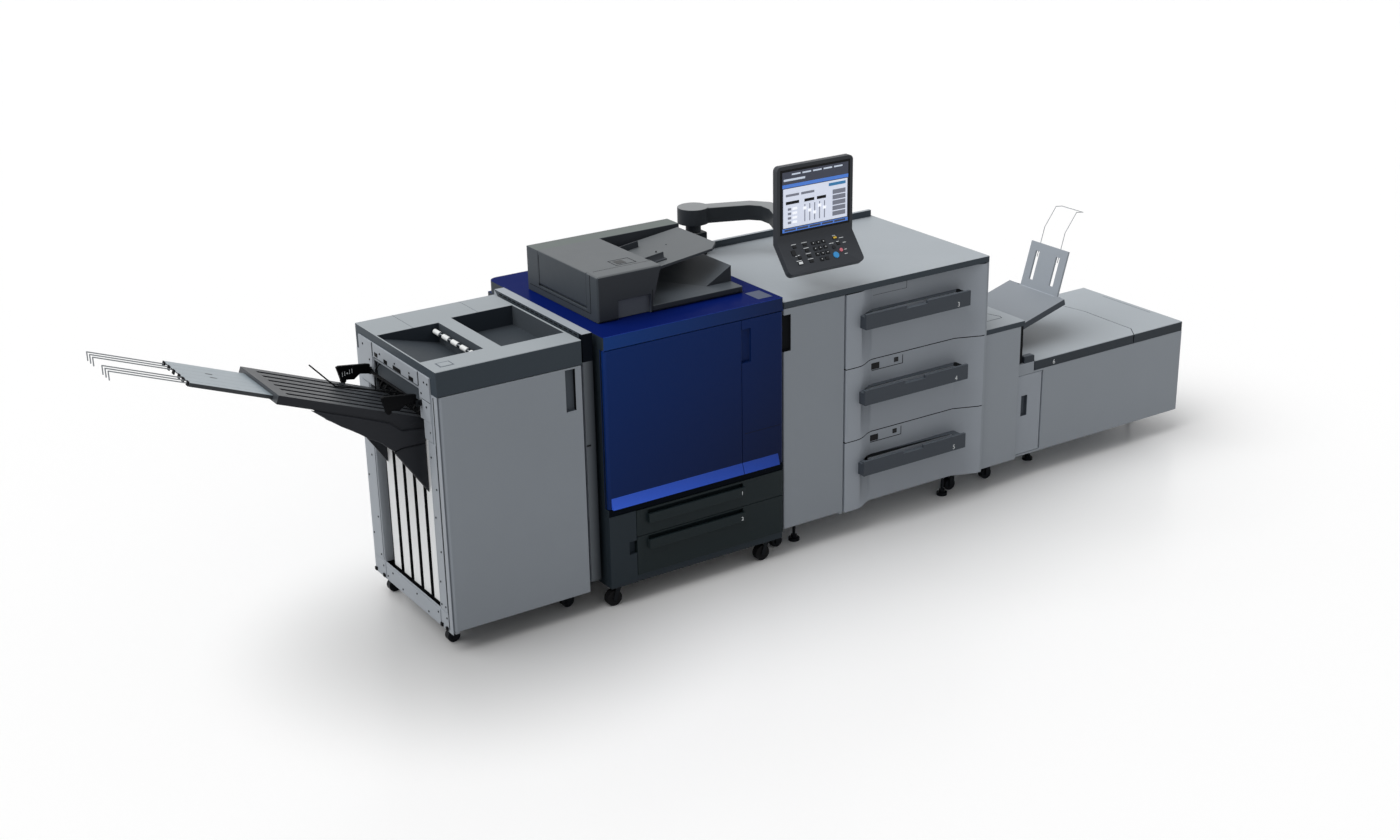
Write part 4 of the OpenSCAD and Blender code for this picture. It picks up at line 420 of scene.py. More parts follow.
def paint(obj, look):
    """Gives each face its finish: look is a name, or a rule of the face's centre and normal.

    The centre is in drawing millimetres.
    """
    obj.data.materials.clear()
    if isinstance(look, str):
        obj.data.materials.append(FINISH[look])
        for f in obj.data.polygons:
            f.material_index = 0
        return obj
    order = []
    for f in obj.data.polygons:
        name = look(drawn(f.center), f.normal)
        if name not in order:
            order.append(name)
            obj.data.materials.append(FINISH[name])
        f.material_index = order.index(name)
    return obj


def within(c, x=None, y=None, z=None):
    """True for a centre that lies between the bounds given, in drawing millimetres."""
    return all(span is None or span[0] < v < span[1] for v, span in zip(c, (x, y, z)))


def topped(top, sides, level=0.5):
    """Rule with one finish for the faces that look up and another for the rest."""
    return lambda c, n: top if n.z > level else sides


def tyred(x, z, radius, tyre):
    """Rule for a roller along Y: tyre beyond a radius about its axis, steel shaft within."""
    return lambda c, n: tyre if math.hypot(c.x - x, c.z - z) > radius else "ground_steel"


def carried_shape(node, name):
    """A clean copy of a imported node: joined triangles, flat faces in one piece."""
    obj = bpy.data.objects.new(name, frame["nodes"][node].data.copy())
    bpy.context.scene.collection.objects.link(obj)
    pick_only(obj)
    bpy.ops.object.mode_set(mode="EDIT")
    bpy.ops.mesh.select_all(action="SELECT")
    bpy.ops.mesh.remove_doubles(threshold=2e-6)
    bpy.ops.mesh.dissolve_limited(angle_limit=0.008)
    bpy.ops.object.mode_set(mode="OBJECT")
    return obj


def fit(obj, node, look):
    """Paints a piece and hangs it on the node's body."""
    paint(obj, look)
    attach(obj, BODY_OF[node])
    return obj


def dress(node, look, outer, inner):
    """Rounded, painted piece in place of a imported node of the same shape."""
    obj = carried_shape(node, node + "_piece")
    soften(obj, outer, inner)
    fit(obj, node, look)
    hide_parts(node)
    return obj


def turned(x, z, degrees):
    """Frame of a sloping piece: its zero in the side view and its turn about the depth axis."""
    return Matrix.Translation(at(x, MID_Y, z)) @ Matrix.Rotation(math.radians(degrees), 4, "Y")


def rounded_block(name, low, high, soft, steps=2):
    """Block between two corners in metres, with all its edges rounded."""
    bpy.ops.object.select_all(action="DESELECT")
    bpy.ops.mesh.primitive_cube_add(size=1, location=(low + high) / 2, scale=high - low)
    obj = bpy.context.active_object
    obj.name = obj.data.name = name
    settle(obj)
    bpy.ops.object.mode_set(mode="EDIT")
    bpy.ops.mesh.select_all(action="SELECT")
    bpy.ops.mesh.bevel(offset=soft * MM, segments=steps, affect="EDGES", clamp_overlap=True)
    bpy.ops.mesh.normals_make_consistent(inside=False)
    bpy.ops.object.mode_set(mode="OBJECT")
    return obj


def slab(name, a, b, soft, look, node, steps=2, on=None):
    """Rounded block between two drawing corners; on is the frame of a sloping piece."""
    if on is None:
        obj = rounded_block(name, at(*a), at(*b), soft, steps)
    else:
        low, high = (Vector((c[0] * MM, (c[1] - MID_Y) * MM, c[2] * MM)) for c in (a, b))
        obj = rounded_block(name, low, high, soft, steps)
        obj.matrix_world = on
        settle(obj)
    smooth(obj)
    return fit(obj, node, look)


def slabs(name, boxes, soft, look, node, **more):
    """Blocks of one kind, each given by its two ends in x, then in y, then in z."""
    return [slab(name, box[::2], box[1::2], soft, look, node, **more) for box in boxes]


def bar(name, p, q, radius, look, node, soft=0.6, sides=32):
    """Round bar between two drawing points, with rounded ends."""
    a, b = at(*p), at(*q)
    bpy.ops.object.select_all(action="DESELECT")
    bpy.ops.mesh.primitive_cylinder_add(vertices=sides, radius=radius * MM, depth=(b - a).length)
    obj = bpy.context.active_object
    obj.name = obj.data.name = name
    bpy.ops.object.mode_set(mode="EDIT")
    bpy.ops.mesh.select_all(action="DESELECT")
    bpy.ops.object.mode_set(mode="OBJECT")
    for f in obj.data.polygons:
        f.select = abs(f.normal.z) > 0.9
    bpy.ops.object.mode_set(mode="EDIT")
    bpy.ops.mesh.bevel(offset=soft * MM, segments=2, affect="EDGES", clamp_overlap=True)
    bpy.ops.object.mode_set(mode="OBJECT")
    turn = (b - a).to_track_quat("Z", "Y").to_matrix().to_4x4()
    obj.matrix_world = Matrix.Translation((a + b) / 2) @ turn
    settle(obj)
    smooth(obj)
    return fit(obj, node, look)


def outline_piece(name, points, low, high, soft, look, node, steps=2):
    """Piece with an outline drawn in x and z that runs from low to high in y."""
    mesh = bpy.data.meshes.new(name)
    mesh.from_pydata([at(x, low, z) for x, z in points], [], [range(len(points))])
    obj = bpy.data.objects.new(name, mesh)
    bpy.context.scene.collection.objects.link(obj)
    pick_only(obj)
    bpy.ops.object.mode_set(mode="EDIT")
    bpy.ops.mesh.select_all(action="SELECT")
    step = Vector((0, (high - low) * MM, 0))
    bpy.ops.mesh.extrude_region_move(TRANSFORM_OT_translate={"value": step})
    bpy.ops.mesh.select_all(action="SELECT")
    bpy.ops.mesh.normals_make_consistent(inside=False)
    bpy.ops.object.mode_set(mode="OBJECT")
    soften(obj, soft, soft, steps)
    return fit(obj, node, look)


def gather(name, pieces):
    """Joins finished pieces of one body into a single piece."""
    first = pieces[0]
    bpy.ops.object.select_all(action="DESELECT")
    for p in pieces:
        p.select_set(True)
    bpy.context.view_layer.objects.active = first
    bpy.ops.object.join()
    first.name = first.data.name = name
    return first


def digit(text, size, place, node, raise_by=0.4):
    """Plain white number, a little proud of a face that looks along -Y; place is its middle."""
    bpy.ops.object.select_all(action="DESELECT")
    bpy.ops.object.text_add(location=(0, 0, 0))
    obj = bpy.context.active_object
    obj.data.body = text
    obj.data.size, obj.data.extrude = size * MM, raise_by * MM
    obj.data.align_x, obj.data.align_y = "CENTER", "CENTER"
    obj.data.resolution_u = 4
    bpy.ops.object.convert(target="MESH")
    obj = bpy.context.active_object
    obj.name = obj.data.name = "number_" + text + "_" + node
    obj.matrix_world = Matrix.Translation(at(*place)) @ Matrix.Rotation(math.radians(90), 4, "X")
    settle(obj)
    bpy.ops.object.mode_set(mode="EDIT")
    bpy.ops.mesh.select_all(action="SELECT")
    bpy.ops.mesh.remove_doubles(threshold=1e-6)
    bpy.ops.mesh.normals_make_consistent(inside=False)
    bpy.ops.object.mode_set(mode="OBJECT")
    return fit(obj, node, "ink_white")


def refinish(node, look):
    """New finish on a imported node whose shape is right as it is."""
    mesh = frame["nodes"][node].data
    mesh.materials.clear()
    mesh.materials.append(FINISH[look])


# ---------------------------------------------------------------- finisher
STEEL = "finisher_end_plate"
TRAY = turned(-603.3, 834, 21)
LEFT_POCKET = {"x": (-614.5, -379.5), "y": (144.5, 485.5)}
RIGHT_POCKET = {"x": (-320.5, -76.5), "y": (129.5, 507.5)}
DOOR_PULL = {"x": (-138.5, -98.5), "z": (791.5, 944.5)}


def finisher_top_look(c, n):
    if c.z < 1040 and (within(c, **LEFT_POCKET) or within(c, **RIGHT_POCKET)):
        # Pocket faces toned by facing: painted shade on the floor and on the walls that face the
        # front.
        return "well_dark" if n.y < -0.5 else "well_floor" if n.z > 0.5 else "well_grey"
    return "finisher_pale" if n.z > 0.35 and c.z > 1030 else "charcoal_band"


def finisher_frame_look(c, n):
    # Side walls of the stacking room: painted shade.
    room_side = within(c, x=(-612, -74), y=(52, 655)) and abs(n.z) < 0.5
    return "dark_recess" if room_side else "grey_cover"


def end_plate_look(c, n):
    if c.y < 49 and c.x < -616:
        return "grey_cover"
    if c.x < -624 and 880 < c.z < 932:
        return "black_metal"
    return "well_grey" if -616 < c.x and 880 < c.z else "zinc_plate"


def door_pull_look(c, n):
    # Pull recess: painted shade, darker grey on its back and near black on its right wall.
    if not (within(c, **DOOR_PULL) and c.y > 25):
        return "door_grey"
    return "dark_recess" if n.x < -0.5 else "pull_grey"


dress("finisher_top", finisher_top_look, 4, 1.5)
dress("finisher_frame", finisher_frame_look, 2, 0.8)
dress("finisher_door", door_pull_look, 3.5, 1.2)
dress("finisher_end_plate", end_plate_look, 1.5, 0.6)
# Front faces of the slats painted near black: painted shade in the channels between them.
dress("stack_slats", lambda c, n: "dark_recess" if n.y < -0.5 else "white_slat", 2, 1)
dress("exit_roller", tyred(-574, 872, 9, "black_tyre"), 1, 0.6)
dress("pocket_roller", tyred(-400, 1015, 6.5, "white_tyre"), 1, 0.6)
dress("output_tray", lambda c, n: "bracket_dark" if abs(n.y) > 0.5 else "out_tray", 3, 1.2)
dress("tray_extension",
      lambda c, n: "out_tray" if n.y < -0.5 or n.x < -0.7 else "extension_grey", 2, 0.8)
dress("tray_wires", "wire_grey", 0.3, 0.3)
dress("paper_arms", "black_lever", 1.5, 1)


# ---------------------------------------------------------------- finisher details
def screw(y, z, x):
    """Pan-head screw on a face of the end plate that looks along -X."""
    return bar("screw", (x, y, z), (x - 2.2, y, z), 3.6, "black_metal", STEEL, soft=0.9, sides=14)


def build_end_plate():
    """Folded skins, gaps, screws and clips on the left end."""
    gather("end_plate_skins", slabs("plate_skin", (
        (-625.2, -623, 67, 145, 922, 1009), (-625.2, -623, 70, 129, 850, 918),
        (-623.4, -620, 70, 129, 778, 846), (-625.2, -623, 155, 509, 960, 1009),
        (-625.2, -623, 518, 627, 850, 1009), (-622.2, -620, 56, 104, 154, 774),
        (-622.2, -620, 574, 652, 154, 842), (-622.2, -620, 116, 556, 84, 142),
        (-621.8, -620, 54, 108, 84, 146), (-621.8, -620, 564, 654, 84, 146),
        (-622.2, -620, 104.5, 110.5, 154, 774), (-622.2, -620, 561.5, 568, 154, 842)),
        0.9, "zinc_plate", STEEL))
    gather("end_plate_gaps", slabs("plate_gap", (
        (-623.3, -623, 146, 154, 960, 1009), (-623.3, -623, 510, 517, 960, 1009),
        (-623.3, -623, 68, 130, 918.5, 921.5), (-620.3, -620, 50, 55.5, 90, 945),
        (-620.3, -620, 108.6, 110.8, 150, 774), (-620.3, -620, 569, 573, 154, 842)),
        0.1, "dark_recess", STEEL, steps=1))
    upper = ((80, 985), (130, 940), (96, 900), (104, 985), (590, 985), (540, 940), (600, 900),
             (215, 985), (330, 985), (450, 985))
    lower = ((84, 812), (94, 720), (70, 610), (92, 500), (70, 380), (92, 260), (66, 172), (96, 172),
             (640, 700), (600, 560), (640, 470), (590, 320), (640, 240), (590, 170), (130, 128),
             (210, 96), (300, 128), (420, 96), (500, 128), (545, 100))
    corner = ((64, 130), (98, 96), (580, 128), (640, 96))
    gather("end_plate_screws", [screw(y, z, x) for x, places in (
        (-625.1, upper), (-622.1, lower), (-621.7, corner)) for y, z in places])
    clips = slabs("plate_clip", [(-627, -620.5, y, y + 15, 84, 97) for y in (57, 98, 570, 640)],
                  1.2, "black_lever", STEEL)
    clips += slabs("plate_clip", [(-627, -625, y, y + w, z, z + 14) for y, w, z in (
        (186, 34, 962), (284, 60, 962), (392, 26, 962), (470, 24, 966))], 0.8, "black_lever", STEEL)
    gather("end_plate_clips", clips)


def build_throat():
    """Smooth guide in the throat, black fingers, bar and bent spring under it, above the tray."""
    shell = "finisher_frame"
    slab("throat_guide", (-613, 155, 886), (-610, 509, 952), 1.2, "well_grey", shell)
    fingers = [slab("finger_bar", (-612, 158, 856), (-600, 506, 866), 1.5, "black_lever", shell)]
    for i in range(9):
        y = 172 + 38 * i
        outline = [(-622, 858), (-600, 874 + 8 * (i % 3)), (-592, 872), (-592, 858)]
        fingers.append(outline_piece("finger", outline, y, y + 9, 1, "black_lever", shell))
    gather("throat_fingers", fingers)
    points = [(-638, 843), (-637, 885), (-634, 918), (-618, 936), (-595, 947), (-575, 951)]
    gather("throat_spring", [
        bar("spring", (x0, 480, z0), (x1, 480, z1), 2.2, "black_lever", shell, sides=10)
        for (x0, z0), (x1, z1) in zip(points, points[1:])])
    ticks = [(-742 + 9 * i, -740 + 9 * i, 513.6, 514.2, 908 + 1.5 * i, 924 + 1.5 * i)
             for i in (0, 1, 3, 4)]
    ticks.append((-725, -720, 513.6, 514.2, 914, 919))
    gather("lever_ticks", slabs("tick", ticks, 0.15, "ink_white", "paper_arms", steps=1))


def build_stack_tray():
    """Raised panels on the front bracket, and the clips, stops and lines of the extension."""
    upper = [(-1000, 952), (-930, 923), (-827, 883), (-730, 844), (-687, 807), (-606, 797),
             (-606, 748), (-692, 748), (-724, 741), (-765, 781), (-805, 805), (-848, 838),
             (-899, 871), (-945, 906)]
    lower = [(-722, 735), (-692, 743), (-606, 741), (-606, 568), (-710, 722)]
    tray, sheet = "output_tray", "tray_extension"
    gather("bracket_panels", [
        outline_piece("bracket_panel", upper, 163, 173.4, 5, "bracket_dark", tray, steps=3),
        outline_piece("bracket_panel", lower, 168.5, 173.4, 2, "bracket_dark", tray)])
    clips = [(-813, -809, y, y + 20, -27, -11) for y in (220, 262, 300, 350, 396, 444)]
    stops = [(-700, -676, y, y + 9, -13.4, -12.25) for y in (330, 372)]
    lines = [(-806, -545, y, y + 2, -13.2, -12.7) for y in (244, 290, 336, 382, 428)]
    ends = slabs("edge_clip", clips, 1.5, "black_lever", sheet, on=TRAY)
    ends += slabs("edge_clip", stops, 0.4, "out_tray", sheet, on=TRAY)
    ends += slabs("face_line", lines, 0.2, "well_grey", sheet, on=TRAY, steps=1)
    gather("extension_clips", ends)


def build_top_details():
    """Seams, a plain square plate and the notch of the left pocket on the finisher's top."""
    top = "finisher_top"
    marks = slabs("top_seam", [(-478, -476.6, 486, 659, 1040.8, 1041.2)], 0.15, "well_dark", top,
                  steps=1)
    marks += slabs("top_seam", [(-214, -212.6, 510, 659, 1040.8, 1041.2)], 0.15, "well_grey", top,
                   steps=1)
    marks += slabs("square_plate", [(-582, -530, 60, 104, 1040.6, 1041.5)], 0.4, "handle_grey", top)
    marks += slabs("square_plate", [(-577, -535, 65, 99, 1041, 1041.9)], 0.4, "finisher_pale", top)
    gather("top_marks", marks)
    slab("pocket_notch", (-462, 152, 999), (-424, 176, 1003), 1.0, "black_lever", top)


build_end_plate()
build_throat()
build_stack_tray()
build_top_details()

# ---------------------------------------------------------------- relay and engine
RELAY = "relay_unit"
# Relay front: darker than the cover and fading to near black towards the engine, painted shade in
# the set-back gap between the finisher and the engine.
cover("relay_grey", (112, 118, 124), rough=0.5, specular=0.2,
      fade=((34, 40, 46), ACROSS, -0.709, -0.672))


def relay_look(c, n):
    if n.x < -0.5 and c.z > 900:
        return "charcoal_band"
    # Front: painted shade.
    return "relay_grey" if n.y < -0.5 else "grey_cover"


dress(RELAY, relay_look, 3, 1)
slab("relay_head", (-59.5, 36.8, 953), (-19.5, 60, 1053.4), 1.5, "lip_blue", RELAY)
gather("relay_slits", slabs("relay_slit", [
    (-59.4, -58.8, 70 + 34 * i, 94 + 34 * i, 1042, 1047) for i in range(17)],
    0.2, "dark_recess", RELAY, steps=1))
slab("relay_latch", (-57, 36.6, 640), (-40, 38.2, 646), 0.3, "dark_recess", RELAY, steps=1)


def cover_look(c, n):
    # End sides facing the neighbouring units: painted shade in black.
    if n.x < -0.5 and c.x < 30 or n.x > 0.5 and c.x > 730:
        return "engine_black"
    # Lip below the ledge: dark navy with painted shade.
    return "lip_blue" if c.z < 396.5 and c.y < 26.5 else "navy_cover"


dress("engine_frame", "engine_black", 3, 0.8)
dress("engine_covers", cover_look, 3, 0.8)


def engine_top_look(c, n):
    # Rounded top front edge: painted highlight.
    if n.y < -0.3 and 0.3 < n.z < 0.97 and c.y < 10:
        return "edge_blue"
    if n.z > 0.6:
        return "navy_top"
    # Left side: painted shade in black; the other sides: blue with a painted reflection.
    return "engine_black" if n.x < -0.5 else "bright_blue"


dress("engine_top", engine_top_look, 6, 1.2)
# Door ledge in lighter blue, partly painted light; the rest of each door navy with a painted
# reflection.
for side in ("left", "right"):
    dress(f"engine_{side}_door",
          lambda c, n: "ledge_blue" if c.y < -0.4 and c.z < 440 else "navy_cover", 4, 1.2)
dress("tray_1", "tray_black", 2.5, 1)
dress("tray_2", "tray_black", 2.5, 1)
for part, name in (("imaging_drums", "drum_blue"), ("transfer_belt", "black_tyre"),
                   ("toner_bottles", "white_tyre"), ("fuser_roller", "sleeve_brown"),
                   ("pressure_roller", "ground_steel"), ("platen_glass", "pane_glass"),
                   ("scan_carriage", "feeder_dark")):
    refinish(part, name)


# ---------------------------------------------------------------- document feeder
# Faces toned by facing and place: lighter tops, painted shade on the front, left end and sides,
# painted light in the grip recess.
def feeder_look(c, n):
    if c.y < 212 and n.z > 0.6 and c.z > 1150:
        return "feeder_grey"
    if within(c, x=(137, 287), y=(133, 214)) and c.z < 1134:
        return "grip_grey"
    if n.x < -0.6:
        return "feeder_end"
    if c.y > 590 and n.z > 0.6:
        return "feeder_bar"
    if n.y < -0.4 and c.y < 215:
        return "feeder_front"
    return "feeder_dark" if n.y < -0.4 or c.x > 560 and n.z < 0.6 else "feeder_side"


# Faces toned by facing: lighter top, painted shade on the left end and the sides.
def feeder_cover_look(c, n):
    if n.z > 0.6:
        return "feeder_grey"
    return "feeder_end" if n.x < -0.6 else "feeder_dark"


dress("feeder_base", feeder_look, 9, 2)
dress("feeder_cover", feeder_cover_look, 5, 1.5)
# Lighter top, painted shade on the sides.
dress("document_tray", topped("feeder_grey", "feeder_dark", 0.6), 3, 1)
dress("guide_front", "feeder_dark", 1.5, 0.8)
dress("guide_rear", "feeder_dark", 1.5, 0.8)


def build_feeder_details():
    """Seams, level window and the marks of the document tray."""
    lid, base = "feeder_cover", "feeder_base"
    lines = slabs("feeder_seam", [(63.2, 64.4, 549, 551, 1074, 1193)], 0.2, "dark_recess", lid,
                  steps=1)
    lines += slabs("window_pane", [(207, 244, 232, 268, 1208.8, 1209.8)], 0.2, "key_dark", lid)
    lines += slabs("window_edge", (
        (194, 277, 219, 221.4, 1208.8, 1209.6), (194, 277, 278, 280.4, 1208.8, 1209.6),
        (194, 196.4, 219, 280, 1208.8, 1209.6), (275, 277.4, 219, 280, 1208.8, 1209.6)),
        0.2, "dark_recess", lid, steps=1)
    gather("cover_marks", lines)
    gather("base_marks", slabs("feeder_seam", (
        (63.2, 64.4, 183, 185, 1066, 1206), (63.2, 64.4, 186, 623, 1065.4, 1067.2),
        (87, 323, 199, 201, 1209.6, 1210.3), (286, 288, 131.4, 132.4, 1044, 1126)),
        0.2, "dark_recess", base, steps=1))
    gather("tray_dots", [
        bar("tray_dot", (x, y, 1160), (x, y, 1173 + 0.06 * (x - 340)), 2.6, "dark_recess",
            "document_tray", sides=12) for x, y in ((457, 375), (525, 413), (570, 420))])


build_feeder_details()

# ---------------------------------------------------------------- swing arm and panel
arm_look = topped("arm_top", "arm_side")
dress("arm_post", topped("arm_top", "post_dark"), 5, 2)
dress("swing_arm", arm_look, 9, 4)
bar("arm_hub", (839, 709, 1149), (839, 709, 1213.5), 62, arm_look, "swing_arm", soft=9, sides=64)
dress("panel_housing", "panel_grey", 4, 1.5)
refinish("panel_screen", "key_dark")
dress("start_key", "key_blue", 1.5, 1)
dress("stop_key", "key_red", 1, 1)
dress("keypad_keys", "key_dark", 1, 0.8)

# ---------------------------------------------------------------- panel details
KEY_TURN = math.radians(39)
KEYPAD_LEFT, KEYPAD_FRONT, KEYPAD_TOP = 776, 60, 1222
PAGE_LEFT, PAGE_RIGHT, PAGE_LOW, PAGE_TOP = 799.0, 1095.0, 1259.0, 1481.0
PAGE_FACE, LAYER = 59.5, 0.25
PRINT = (0, 0.25)
KEY_PRINT = (3.0, 3.25)
KEY_CAP = (2.9, 3.6)


def on_keypad(u, v, lift):
    """Drawing point on the sloping keypad: u from its left, v down the slope, lift out of it."""
    return (KEYPAD_LEFT + u,
            KEYPAD_FRONT - v * math.sin(KEY_TURN) - lift * math.cos(KEY_TURN),
            KEYPAD_TOP - v * math.cos(KEY_TURN) + lift * math.sin(KEY_TURN))


def keypad_chip(name, u, v, width, height, span, soft, look, node):
    """Small rounded block on the keypad, turned with its slope; span is its foot and its top."""
    low, high = span
    half = Vector((width, high - low, height)) * MM / 2
    obj = rounded_block(name, -half, half, soft)
    place = at(*on_keypad(u, v, (low + high) / 2))
    obj.matrix_world = Matrix.Translation(place) @ Matrix.Rotation(-KEY_TURN, 4, "X")
    settle(obj)
    smooth(obj)
    return fit(obj, node, look)


def screen_chip(u0, u1, v0, v1, look, layer):
    """Flat patch of the lit page; u and v are shares of the page from its top left corner."""
    across, down = PAGE_RIGHT - PAGE_LEFT, PAGE_TOP - PAGE_LOW
    front = PAGE_FACE - LAYER * layer
    a = (PAGE_LEFT + u0 * across, front - 0.3, PAGE_TOP - v1 * down)
    b = (PAGE_LEFT + u1 * across, front, PAGE_TOP - v0 * down)
    return slab("screen_chip", a, b, 0.1, look, "panel_screen", steps=1)


def build_screen():
    """Lit page with generic bars, tabs, sliders and a list."""
    slab("screen_glass", (790.4, 59.55, 1250.4), (1103.6, 60.6, 1488.6), 0.5, "screen_black",
         "panel_screen")
    patches = [(0, 1, 0, 1, "screen_navy", 0), (0, 1, 0.205, 0.262, "screen_blue", 1),
               (0.012, 0.988, 0.275, 0.925, "screen_page", 1), (0, 1, 0.94, 1, "screen_blue", 1)]
    for i in range(5):
        patches.append((0.14 + i * 0.16, 0.27 + i * 0.16, 0.035, 0.06, "screen_line", 1))
        patches.append((0.03 + i * 0.19, 0.2 + i * 0.19, 0.952, 0.985, "screen_navy", 2))
    patches += [(0.02, 0.34, 0.115, 0.15, "screen_line", 1),
                (0.70, 0.96, 0.31, 0.36, "key_blue", 2)]
    patches += [(u, u + 0.2, 0.37, 0.41, "screen_list", 2) for u in (0.05, 0.28)]
    patches += [(u0, u1, 0.49, 0.54, "screen_black", 2)
                for u0, u1 in ((0.05, 0.25), (0.33, 0.48), (0.52, 0.66))]
    for i in range(4):
        v = 0.6 + i * 0.075
        patches.append((0.08, 0.13, v, v + 0.04, "screen_list", 2))
        patches.append((0.15, 0.22, v, v + 0.04, "screen_white", 2))
    for i in range(5):
        u, v, row = 0.33 + i * 0.075, 0.62 + 0.05 * (i % 3), 0.43 + i * 0.092
        patches.append((u, u + 0.014, 0.58, 0.87, "screen_list", 2))
        patches.append((u - 0.016, u + 0.03, v, v + 0.05, "screen_white", 3))
        patches.append((0.76, 0.96, row, row + 0.075, "screen_list", 2))
    gather("screen_page", [screen_chip(*patch) for patch in patches])


def build_keypad():
    """White marks and caps on the keys, and the printed lines beside them."""
    keys = "keypad_keys"
    places = [(u, v) for u in (150, 173, 196) for v in (24, 46, 68)] + [(160, 90)]
    gather("key_marks", [keypad_chip("mark", u, v, 3.4, 3.0, KEY_PRINT, 0.1, "ink_white", keys)
                         for u, v in places])
    gather("key_caps", [
        keypad_chip("cap", 64, 89, 17, 9.2, KEY_CAP, 0.3, "ink_white", keys),
        keypad_chip("cap", 250, 20, 15, 7.2, KEY_CAP, 0.3, "key_yellow", keys)])
    lines = [(113, v - 9, 24) for v in (23, 45, 67, 89)]
    lines += [(66, 14, 22), (62, 79, 22), (226, 38, 20), (250, 11, 14), (256, 36, 12),
              (276, 71, 12), (272, 88, 14), (278, 24, 20), (284, 44, 14), (58, 60, 8), (70, 58, 8)]
    gather("keypad_lines", [
        keypad_chip("line", u, v, width, 2.2, PRINT, 0.1, "ink_white", "panel_housing")
        for u, v, width in lines])


cover("screen_black", (10, 12, 16), rough=0.12, depth=0.0, specular=0.12)
cover("key_yellow", (236, 196, 62), rough=0.35, grain=1400)
for label, colour in (("screen_navy", (34, 40, 58)), ("screen_blue", (58, 110, 196)),
                      ("screen_page", (206, 212, 228)), ("screen_line", (186, 196, 212)),
                      ("screen_list", (104, 108, 122)), ("screen_white", (240, 243, 250))):
    cover(label, colour, rough=0.2, depth=0.0, tone=0.03)
    lit = FINISH[label].node_tree
    glow = next(n for n in lit.nodes if n.type == "BSDF_PRINCIPLED")
    glow.inputs["Emission Color"].default_value = srgb(*colour)
    glow.inputs["Emission Strength"].default_value = 0.55
build_screen()
build_keypad()

# ---------------------------------------------------------------- feed cabinet
top_look = topped("pale_top", "charcoal_band", 0.35)


def feed_door_look(c, n):
    # Grip recess: painted shade in near black.
    in_grip = c.x < 800 and within(c, y=(8, 30), z=(826, 968))
    return "dark_recess" if in_grip else "door_grey"


def drawer_look(c, n):
    if c.y < 3:
        return "handle_grey" if n.z > 0.5 else "drawer_handle"
    return "dark_recess" if abs(n.z) > 0.6 and c.y < 60 else "grey_front"


dress("feed_cabinet", "grey_cover", 3, 0.8)
dress("feed_top", top_look, 4, 1.5)
dress("feed_door", feed_door_look, 4, 1.2)
# Bar faces sit back by half a millimetre, so that the numbers on them stay inside the part's box
BAR_FACE, SET_BACK = -29.6, 0.5
for number in (3, 4, 5):
    front = dress(f"drawer_{number}", drawer_look, 3, 1.5)
    for v in front.data.vertices:
        if drawn(v.co).y < BAR_FACE:
            v.co.y += SET_BACK * MM


# ---------------------------------------------------------------- bypass tower and magazine
def magazine_door_look(c, n):
    # Pull recess: painted shade.
    in_pull = within(c, x=(1985, 2020), y=(39, 60), z=(282, 373))
    return "pull_grey" if in_pull else "grey_front"


dress("tower_cabinet", lambda c, n: "dark_recess" if c.x > 1953 else "grey_cover", 3, 0.8)
dress("tower_top", top_look, 4, 1.5)
dress("bypass_tray",
      lambda c, n: "drawer_handle" if n.y < -0.5 or n.z < -0.5 else "bypass_grey", 4, 1)
dress("bypass_extension", "flap_grey", 2, 1)
dress("bypass_wire", "wire_grey", 0.2, 0.2)
dress("magazine_cabinet", "grey_cover", 3, 0.8)
dress("magazine_door", magazine_door_look, 3, 1.2)
for side in ("left", "right"):
    dress(f"magazine_{side}_lid", topped("pale_top", "lid_band", 0.35), 5, 1.5)
refinish("lift_plate", "sheet_steel")

# ---------------------------------------------------------------- engine details
slab("plain_plate", (675, 35, 1039.6), (738, 122, 1040.6), 0.3, "plate_blue", "engine_top")
for label, z in (("1", 323), ("2", 220)):
    digit(label, 20, (563, -14.4, z), "tray_" + label)
slab("right_door_seam", (586, -0.6, 549.4), (746, 1.2, 550.6), 0.3, "dark_recess",
     "engine_right_door")

# ---------------------------------------------------------------- drawer details
for number, z in ((3, 864), (4, 561), (5, 270)):
    digit(str(number), 26, (1572, -29.7, z), f"drawer_{number}", raise_by=0.2)
for number, top in ((4, 683), (5, 387)):
    node = f"drawer_{number}"
    label = slabs("label_frame", (
        (1181, 1360, 43.4, 45.4, top - 35, top - 33), (1359, 1361, 43.4, 45.4, top - 35, top),
        (1180, 1182, 43.4, 45.4, top - 35, top)), 0.3, "dark_recess", node)
    label += slabs("label_window", [(1187, 1245, 43, 45.6, top - 30, top - 5)], 0.8, "screen_black",
                   node)
    label += slabs("lift_key", [(1318, 1338, 42.6, 45.6, top - 22, top - 4)], 1.2, "key_dark", node)
    gather(f"drawer_{number}_label", label)
gather("drawer_3_plate", slabs("plate_edge", (
    (1170, 1372, 44.2, 45.4, 950, 951.2), (1371, 1372.2, 44.2, 45.4, 950, 990),
    (1169, 1170.2, 44.2, 45.4, 950, 990)), 0.3, "dark_recess", "drawer_3"))

